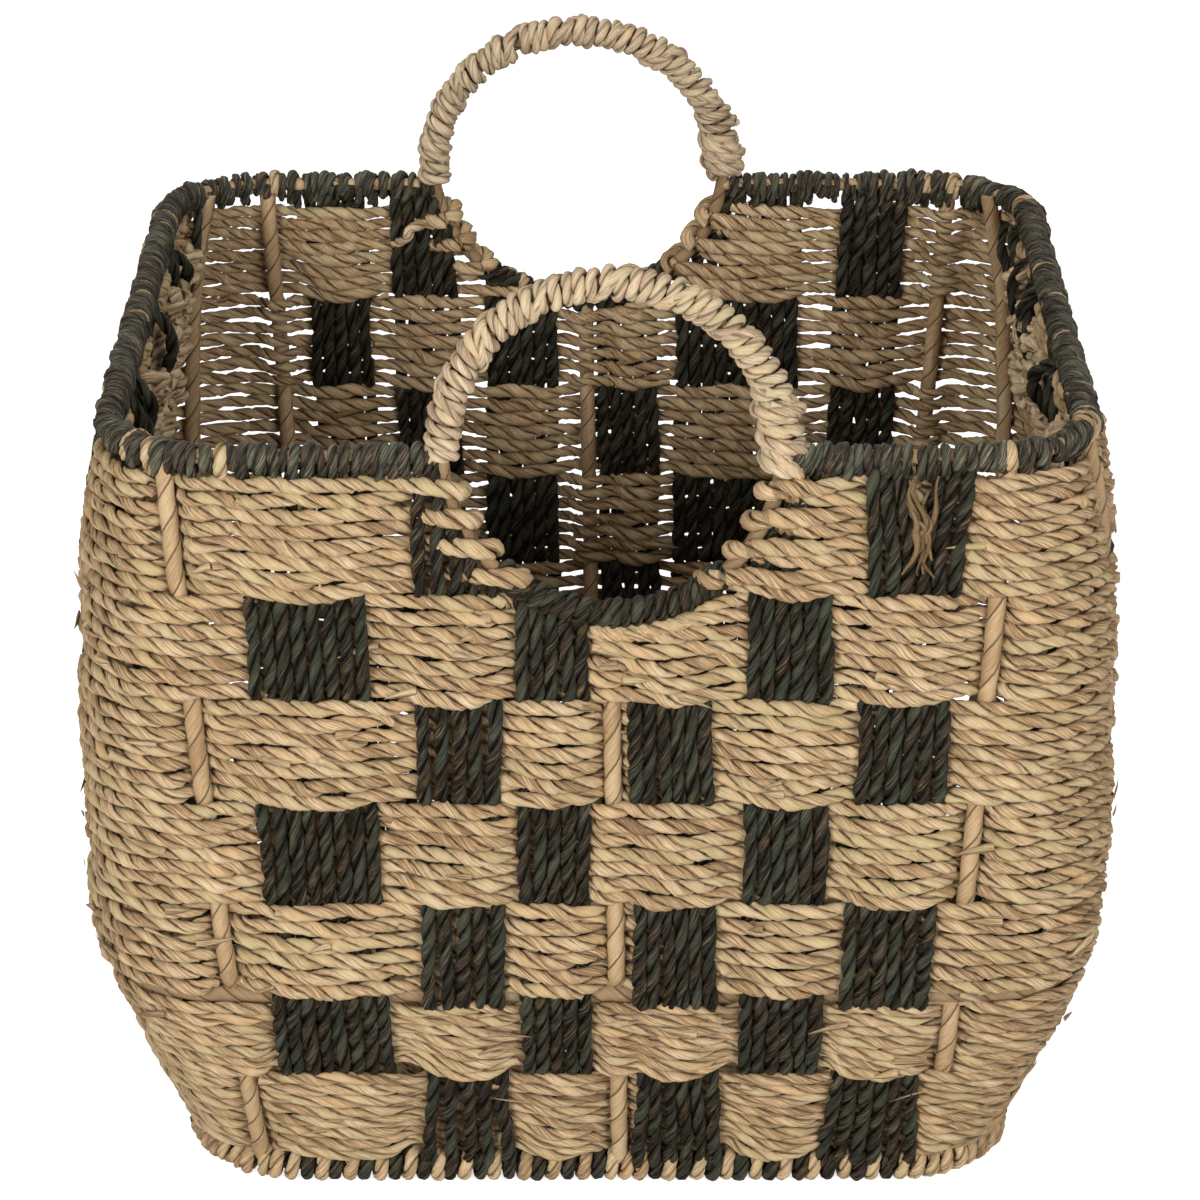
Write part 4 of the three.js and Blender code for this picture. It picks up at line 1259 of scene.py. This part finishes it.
class WrapFrame(bpy.types.Operator):
    """Wrap the rods, the middle hoop, the rim wires and the rings with flat leaf"""

    bl_idname = "basket.wrap_frame"
    bl_label = "Wrap frame"

    def execute(self, context):
        wall, settings = wall_and_ropes(context)
        for face, (name, rods) in enumerate(zip(FACE_NAMES, RODS)):
            rng = draws(settings, "rods", face)
            paths = [rod_line(wall, face, rod).core(rng) for rod in [*rods, None]]
            nodes = [f"{name}_{rod.name}" for rod in rods] + [f"{name}_corner_rod"]
            lay(f"{name}_rods", paths, "rod", "wrapped_leaf", face, nodes)
        rng = draws(settings, "hoops")
        paths = [hoop_line(wall, HOOP_LEVEL, HOOP_OFFSET).core(rng)]
        # The middle hoop takes the darker leaf as painted shade, where it lies recessed between the
        # rows
        lay("middle_hoop_wrap", paths, "hoop", "brown_leaf", 9, ["middle_hoop"])
        for name, side in (("left", -1), ("right", 1)):
            paths, nodes = [rim_line(wall, side)[0].core(rng)], [f"rim_wire_{name}"]
            lay(f"rim_core_{name}", paths, "wire", "wrapped_leaf", 10, nodes)
        for name, face in (("front", FRONT), ("back", BACK)):
            paths = [ring_line(wall, face, 0, FULL_TURN).core(rng)]
            lay(f"{name}_ring_core", paths, "wire", "brown_leaf", 11, [f"{name}_ring"])
        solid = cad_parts["bottom_hoop"]
        solid.data.materials.clear()
        solid.data.materials.append(finish("core_wire"))
        return {"FINISHED"}


class BindRim(bpy.types.Operator):
    """Bind the rim with dark leaf"""

    bl_idname = "basket.bind_rim"
    bl_label = "Bind rim"

    SIDE_PITCH, FRONT_PITCH = 2.1 * MM, 3.7 * MM
    SIDE_UNDYED, FRONT_UNDYED = 0.07, 0.02
    LOW_WRAPS = 0.6
    LOOP_POINTS = 17

    def execute(self, context):
        wall, settings = wall_and_ropes(context)
        bulge = 0.72 + 0.42 * bell(np.linspace(0, 1, self.LOOP_POINTS) - 0.5, 0.24)
        for name, side in (("left", -1), ("right", 1)):
            rng = draws(settings, "rim", side)
            line, face = rim_line(wall, side)
            rods = self.rod_places(wall, line)
            lumps = wander(rng, line.run, 0.7, 17 * MM)
            groups = {"dark": [], "natural": []}
            at = 3 * MM
            while at < line.length - 3 * MM:
                lump = np.interp(at, line.run, lumps)
                at_side = np.interp(at, line.run, (face % 2).astype(float)) > 0.5
                if at_side:
                    pitch, lean = self.SIDE_PITCH * rng.uniform(0.6, 1.5), rng.uniform(1, 10) * MM
                    around, size = rng.uniform(3.2, 4.3) + lump, rng.uniform(0.35, 0.9)
                    below = rng.uniform(3.4, 5.4)
                else:
                    pitch = self.FRONT_PITCH * rng.uniform(0.6, 1.35)
                    lean = rng.uniform(-3, 4) * MM
                    around, size = rng.uniform(2.9, 3.6) + lump * 0.4, rng.uniform(0.65, 1.2)
                    low = rng.random() < self.LOW_WRAPS
                    below = rng.uniform(5.5, 8.5) if low else rng.uniform(3.4, 4.8)
                reach = (around * MM, around * MM * rng.uniform(0.85, 1.1), below * MM)
                start = math.pi + rng.uniform(-0.4, 0.4)
                undyed = rng.random() < (self.SIDE_UNDYED if at_side else self.FRONT_UNDYED)
                undyed = undyed or any(at <= rod < at + pitch for rod in rods)
                size = max(size, 1.1) if undyed and not at_side else size
                loop = wrap_loop(line, at, lean, reach, rng, size * bulge, 1.12, start)
                groups["natural" if undyed else "dark"].append(loop)
                at += pitch
            for kind, paths in groups.items():
                rope = "rim_rope" if kind == "dark" else "natural_rope"
                nodes = [f"rim_binding_{name}"]
                lay(f"rim_{kind}_{name}", paths, "rim", rope, 5, nodes)
        return {"FINISHED"}

    @staticmethod
    def rod_places(wall, line):
        """Where along the rim the tops of the front's and the back's rods are."""
        found = []
        for face in RING_PLACES:
            for rod in RODS[face]:
                place = wall.column(face, rod, RIM_LEVEL)[0]
                point = wall.place(face, place, RIM_LEVEL, 0)[0]
                away = np.linalg.norm(line.values[0] - point, axis=1)
                if away.min() < 5 * MM:
                    found.append(line.run[away.argmin()])
        return found


class WindHandles(bpy.types.Operator):
    """Wind the ring handles with natural leaf and their notches with dark leaf"""

    bl_idname = "basket.wind_handles"
    bl_label = "Wind handles"

    PITCH, LOOSE_PITCH, NOTCH_PITCH = 4.4 * MM, 23 * MM, 3.9 * MM
    RADII = np.array([5.9, 5.4, 4.4, *[4.1] * 7, 4.2, 4.4]) * MM
    NOTCH_RADIUS = 3.1 * MM
    KNOT_PITCHES, KNOT_RADIUS = (6 * MM, 9 * MM), 6.2 * MM

    def execute(self, context):
        wall, settings = wall_and_ropes(context)
        for name, face in (("front", FRONT), ("back", BACK)):
            rng = draws(settings, "handles", face)
            line = ring_line(wall, face, -0.12, math.pi + 0.06)
            radius = self.RADII if face == FRONT else self.RADII[::-1]
            paths = [wind(line, self.PITCH, radius, rng, 1.2)]
            paths.append(wind(line, self.LOOSE_PITCH, radius + 0.6 * MM, rng, 1.2, 0.8))
            end = (-0.1, 0.3) if face == FRONT else (math.pi - 0.3, math.pi + 0.02)
            knot = ring_line(wall, face, *end, 20)
            for pitch in self.KNOT_PITCHES:
                paths.append(wind(knot, pitch, self.KNOT_RADIUS, rng, 1.5, 1.05))
            piece, nodes = f"{name}_handle_rope", [f"{name}_handle_winding"]
            lay(piece, paths, "handle", "pale_rope", face, nodes)
            line = ring_line(wall, face, math.pi * 1.26, math.pi * 1.74)
            paths = [wind(line, self.NOTCH_PITCH, self.NOTCH_RADIUS, rng, 1.2, 1.25)]
            piece, nodes = f"{name}_notch_wraps", [f"{name}_notch_winding"]
            lay(piece, paths, "notch", "dark_rope", face, nodes)
        return {"FINISHED"}


class BindFoot(bpy.types.Operator):
    """Bind the foot with natural and dark wraps"""

    bl_idname = "basket.bind_foot"
    bl_label = "Bind foot"

    PITCH = 5.2 * MM
    LOOP_POINTS = 16

    def execute(self, context):
        wall, settings = wall_and_ropes(context)
        rng = draws(settings, "foot")
        level = FOOT_LEVEL + 0.4 * MM
        line = hoop_line(wall, level, 0)
        spans = []
        for face, warps in enumerate(WARPS):
            for warp in warps:
                place, half = wall.column(face, warp, 10 * MM)
                run = wall.run_of(face, float(place), level)
                spans.append((run - half * 1.2, run + half * 1.2))
        count = round(line.length / self.PITCH)
        groups = {"natural": [], "dark": []}
        for i in range(count):
            at = line.length / count * i + rng.uniform(-0.5, 0.5) * MM
            dark = i % 2 == 0 and any(low < at < high for low, high in spans)
            beside, above = 4.2 * MM * rng.uniform(0.94, 1.08), 4.4 * MM * rng.uniform(0.9, 1.15)
            lean, swell = rng.uniform(2.5, 6.5) * MM, rng.uniform(0.9, 1.1)
            reach = (beside, above, 4.0 * MM)
            loop = wrap_loop(line, at, lean, reach, rng, np.full(self.LOOP_POINTS, swell), 1.06)
            groups["dark" if dark else "natural"].append(loop)
        for kind, paths in groups.items():
            rope = f"{kind}_rope"
            lay(f"foot_wraps_{kind}", paths, "foot", rope, 3, ["foot_binding"])
        return {"FINISHED"}


class WeaveBase(bpy.types.Operator):
    """Weave the base panel"""

    bl_idname = "basket.weave_base"
    bl_label = "Weave base"

    PITCH = 5.4 * MM
    WAVE = 22 * MM

    def execute(self, context):
        wall, settings = wall_and_ropes(context)
        low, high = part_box("base_panel")
        rng = draws(settings, "base")
        level = (low[2] + high[2]) / 2
        rows = int((high[1] - low[1]) / self.PITCH)
        paths = []
        for i in range(rows):
            y = low[1] + (high[1] - low[1]) * (i + 0.5) / rows
            past = max(abs(y) - (high[1] - wall.corner), 0)
            inset = wall.corner - math.sqrt(max(wall.corner**2 - past**2, 0))
            x = np.arange(low[0] + inset, high[0] - inset, settings.step * 1.5)
            weave = np.sin(x / self.WAVE * math.pi + (i // 5 % 2) * math.pi)
            z = level + 1.2 * MM * weave + wander(rng, x, 0.2 * MM, 40 * MM)
            points = np.stack([x, y + wander(rng, x, 0.4 * MM, 60 * MM), z], -1)
            paths.append(Path(points, np.tile(UP, (len(x), 1)), 0.95, rng.random()))
        lay("base_weave", paths, "rope", "natural_rope", 4, ["base_panel"])
        return {"FINISHED"}


class AddLooseEnds(bpy.types.Operator):
    """Add frayed leaf, stray fibres and the rope ends that hang inside the side walls"""

    bl_idname = "basket.add_loose_ends"
    bl_label = "Add loose ends"

    SLIVERS_PER_ROW = 100
    KNOTS_PER_SIDE = 17
    HANGING_PER_SIDE = 13
    TUFTS = 16

    # The loop inside the back: its place, level, width, drop, bulge and size
    BACK_LOOP = (74 * MM, 272 * MM, 13 * MM, 9 * MM, 7 * MM, 1.0)

    def execute(self, context):
        wall, settings = wall_and_ropes(context)
        rng = draws(settings, "loose ends")
        frayed = []
        for row, (bottom, top) in enumerate(ROW_BOUNDS, 1):
            level = (bottom + top) / 2
            total = wall.starts(level)[1]
            profile = row_profile(wall, row, level, settings.weave_reach)
            for _ in range(self.SLIVERS_PER_ROW):
                run = rng.uniform(0, total)
                height = rng.uniform(bottom + 1 * MM, top - 1 * MM)
                if row == 1 and self.over_ring(wall, run, level):
                    continue
                offset = float(profile(np.array([run]))[0][0])
                side = 1 if rng.random() < 0.75 else -1
                frayed.append(self.sliver(wall, run, height, offset + side * 2.2 * MM, side, rng))
        knots, hanging = [], []
        half = wall.half_at_rim[1]
        for face in (RIGHT, LEFT):
            for i in range(self.KNOTS_PER_SIDE):
                place = (-0.84 + 0.1 * i + rng.uniform(-0.05, 0.05)) * half
                level, drop = RIM_LEVEL - rng.uniform(10, 50) * MM, rng.uniform(12, 55) * MM
                knots.append(self.coil(wall, face, place, level, drop, rng))
            for _ in range(self.HANGING_PER_SIDE):
                place = rng.uniform(-0.9, 0.9) * half
                level, width = RIM_LEVEL - rng.uniform(4, 12) * MM, rng.uniform(-9, 9) * MM
                drop, bulge = rng.uniform(20, 55) * MM, rng.uniform(3, 10) * MM
                size = rng.uniform(0.6, 1)
                hanging.append(self.hang(wall, face, place, level, width, drop, bulge, size, rng))
        middle = float(wall.column(FRONT, FRAYED_WARP, RIM_LEVEL)[0])
        tufts = [self.tuft(wall, FRONT, middle, rng) for _ in range(self.TUFTS)]
        knots.append(self.hang(wall, BACK, *self.BACK_LOOP, rng))
        bands = [f"band_{row}" for row in range(2, ROW_COUNT + 1)]
        bindings = ["rim_binding_left", "rim_binding_right"]
        lay("frayed_leaf", frayed, "leaf", "natural_rope", 6, bands)
        nodes = ["band_1_left", "band_1_right"]
        # The knots take the brighter finish, as painted light
        lay("inner_rope_ends", knots, "handle", "knot_rope", 7, nodes)
        lay("frayed_warp_top", tufts, "leaf", "brown_rope", 9, ["front_warp_6"])
        lay("inner_dark_ends", hanging, "warp", "dark_rope", 8, bindings)
        return {"FINISHED"}

    @staticmethod
    def over_ring(wall, run, level):
        """Whether a place on the first row lies in or beside a ring."""
        total = wall.starts(level)[1]
        gaps = [
            abs((run - wall.run_of(face, place, level) + total / 2) % total - total / 2)
            for face, place in RING_PLACES.items()
        ]
        return min(gaps) < RING_RADIUS + 6 * MM

    @staticmethod
    def sliver(wall, run, height, offset, side, rng):
        """A thin strip of leaf that comes loose from a rope and curls away from the wall."""
        t = np.linspace(0, 1, 7)
        length = rng.uniform(4, 15) * MM
        way = rng.choice([-1, 1])
        level = height + rng.uniform(-0.45, 0.3) * length * t**1.3
        lift = side * (0.8 + rng.uniform(0, 1.8) * t**1.6) * MM
        unrolled = wall.unroll(run + way * length * t, height)
        points, outward = wall.at(*unrolled, level, offset + lift)
        width = rng.uniform(0.4, 2.2) * (1.05 - t**2)
        return Path(points, outward * side, width, rng.random())

    @staticmethod
    def tuft(wall, face, place, rng):
        """A strip of leaf that stands up or hangs down from the frayed middle of a warp's top."""
        t = np.linspace(0, 1, 9)
        way = rng.choice([-1, 1])
        places = place + (rng.uniform(-2.5, 2.5) + rng.uniform(-5, 5) * t**1.3) * MM
        places = places + rng.uniform(0.5, 1.6) * MM * np.sin(t * rng.uniform(3, 8))
        levels = RIM_LEVEL - 24 * MM + way * rng.uniform(8, 20) * MM * t
        offset = 5.4 * MM + rng.uniform(0.3, 2.8) * MM * np.sin(rng.uniform(2, 4.5) * t)
        points, outward = wall.place(face, places, levels, offset)
        return Path(points, outward, rng.uniform(0.7, 1.7) * (1.05 - 0.75 * t), rng.random())

    @staticmethod
    def hang(wall, face, place, level, width, drop, bulge, size, rng):
        """A strand that comes out of the inside of a wall and goes back in lower down."""
        t = np.linspace(0, 1, 16)
        arch = np.sin(math.pi * t)
        places = place + width * (t - 0.5) + 2 * MM * np.sin(t * rng.uniform(4, 9))
        levels = level - drop * t + 2.5 * MM * arch
        points, outward = wall.place(face, places, levels, -3.5 * MM - bulge * arch**0.7)
        return Path(points, -outward, size * (0.85 + 0.2 * arch), rng.random())

    @staticmethod
    def coil(wall, face, place, level, drop, rng):
        """A rope's end, wound into a lumpy knot on the inside of a wall."""
        turns = drop / (rng.uniform(3.4, 5) * MM)
        t = np.linspace(0, 1, int(turns * 11) + 6)
        angle = FULL_TURN * turns * t + wander(rng, t, 1.4, 0.1)
        reach = rng.uniform(2, 3.6) * MM * (1 + wander(rng, t, 0.5, 0.12))
        places = place + reach * np.cos(angle)
        places = places + wander(rng, t, 3 * MM, 0.3) + wander(rng, t, 1.2 * MM, 0.07)
        offset = -rng.uniform(6, 9.5) * MM + reach * np.sin(angle)
        offset = offset + wander(rng, t, 1.6 * MM, 0.15)
        points, outward = wall.place(face, places, level - drop * t, offset)
        return Path(points, -outward, 1.1 + wander(rng, t, 0.3, 0.1), rng.random())


# The stage: each lamp's name, place, size and power, the world's and the floor's light, and the
# camera's place, tilt and lens
LAMPS = [
    ("key", (-1.1, -1.95, 0.88), 0.85, 37.5),
    ("fill", (1.15, -1.9, 0.86), 1.0, 30.0),
    ("top", (0, 0.1, 1.3), 0.5, 3.0),
]
LAMPS_AIM = (0, 0, 0.15)
WORLD_COLOUR, WORLD_STRENGTH = (1, 0.95, 0.9, 1), 0.235
FLOOR_REACH = 6.0
FLOOR_COLOUR, FLOOR_GLOW = (0.86, 0.86, 0.86, 1), 0.8
CAMERA_PLACE = (0.00066, -1.565, 0.8308)
CAMERA_TILT = math.radians(90 - 22.8)
SENSOR = 36.0
FOCAL_PIXELS, IMAGE_PIXELS = 4568, 1200


class SetStage(bpy.types.Operator):
    """Set the pale floor, the soft light and the camera"""

    bl_idname = "basket.set_stage"
    bl_label = "Set stage"

    def execute(self, context):
        scene = context.scene
        scene.view_settings.view_transform = "Standard"
        scene.world = bpy.data.worlds.new("studio")
        tree = empty_tree(scene.world)
        lit = tree.node("ShaderNodeBackground", inputs={0: WORLD_COLOUR, 1: WORLD_STRENGTH})
        white = tree.node("ShaderNodeBackground", inputs={0: (1, 1, 1, 1), 1: 1.0})
        mixed = self.for_rays(tree, ("Camera", "Glossy", "Transmission"), lit, white)
        tree.node("ShaderNodeOutputWorld", inputs={0: mixed})
        self.lay_floor()
        for name, place, size, power in LAMPS:
            light = bpy.data.lights.new(name, "AREA")
            light.shape, light.size, light.energy = "SQUARE", size, power
            lamp = link_object(name, light)
            lamp.location = place
            lamp.rotation_euler = direction_angles(np.array(LAMPS_AIM) - np.array(place))
        lens = bpy.data.cameras.new("camera")
        lens.sensor_width = SENSOR
        lens.lens = FOCAL_PIXELS / IMAGE_PIXELS * SENSOR
        lens.clip_end = 50
        scene.camera = link_object("camera", lens)
        scene.camera.location = CAMERA_PLACE
        scene.camera.rotation_euler = (CAMERA_TILT, 0, 0)
        return {"FINISHED"}

    @staticmethod
    def for_rays(tree, rays, others, seen):
        """One shader for the named kinds of ray, and another for the rest."""
        shares = [tree.node("ShaderNodeLightPath", out=f"Is {ray} Ray") for ray in rays]
        share = sum(shares[1:], shares[0]).maths("MINIMUM", 1.0)
        return tree.node("ShaderNodeMixShader", inputs={0: share, 1: others, 2: seen})

    def lay_floor(self):
        """A pale floor that glows white where it is seen and still takes the shadow."""
        mesh = bpy.data.meshes.new("floor")
        far = FLOOR_REACH
        corners = [(-far, -far, 0), (far, -far, 0), (far, far, 0), (-far, far, 0)]
        mesh.from_pydata(corners, [], [(0, 1, 2, 3)])
        floor = link_object("floor", mesh)
        material = bpy.data.materials.new("pale_floor")
        tree = empty_tree(material)
        matt = tree.node("ShaderNodeBsdfDiffuse", inputs={0: FLOOR_COLOUR})
        glow = tree.node("ShaderNodeEmission", inputs={0: (1, 1, 1, 1), 1: FLOOR_GLOW})
        unlit = tree.node("ShaderNodeEmission", inputs={1: 0.0})
        glow_seen = self.for_rays(tree, ("Camera", "Transmission"), unlit, glow)
        both = tree.node("ShaderNodeAddShader", inputs={0: matt, 1: glow_seen})
        tree.node("ShaderNodeOutputMaterial", inputs={0: both})
        mesh.materials.append(material)


def direction_angles(aim):
    """The turn that points an object's -Z along a direction."""
    x, y, z = aim / np.linalg.norm(aim)
    return (math.acos(-z), 0, math.atan2(-x, y))


class BasketPanel(bpy.types.Panel):
    bl_idname = "VIEW3D_PT_basket"
    bl_label = "Woven basket"
    bl_space_type = "VIEW_3D"
    bl_region_type = "UI"
    bl_category = "Basket"

    def draw(self, context):
        for name in SETTINGS:
            settings = getattr(context.scene, name)
            for label in type(settings).__annotations__:
                self.layout.prop(settings, label)
        for operator in OPERATORS:
            self.layout.operator(operator.bl_idname)


SETTINGS = {
    "basket_wall": BasketWallSettings,
    "basket_ropes": BasketRopeSettings,
    "basket_colours": BasketColourSettings,
}
OPERATORS = [
    SetStage,
    WeaveRows,
    RunWarps,
    WrapFrame,
    BindRim,
    WindHandles,
    BindFoot,
    WeaveBase,
    AddLooseEnds,
]
CLASSES = [*SETTINGS.values(), *OPERATORS, BasketPanel]


def register():
    for made in CLASSES:
        bpy.utils.register_class(made)
    for name, group in SETTINGS.items():
        setattr(bpy.types.Scene, name, bpy.props.PointerProperty(type=group))


def unregister():
    for name in SETTINGS:
        delattr(bpy.types.Scene, name)
    for made in reversed(CLASSES):
        bpy.utils.unregister_class(made)


def main():
    register()
    bpy.ops.basket.set_stage()
    bpy.ops.basket.weave_rows()
    bpy.ops.basket.run_warps()
    bpy.ops.basket.wrap_frame()
    bpy.ops.basket.bind_rim()
    bpy.ops.basket.wind_handles()
    bpy.ops.basket.bind_foot()
    bpy.ops.basket.weave_base()
    bpy.ops.basket.add_loose_ends()


if __name__ == "__main__":
    main()
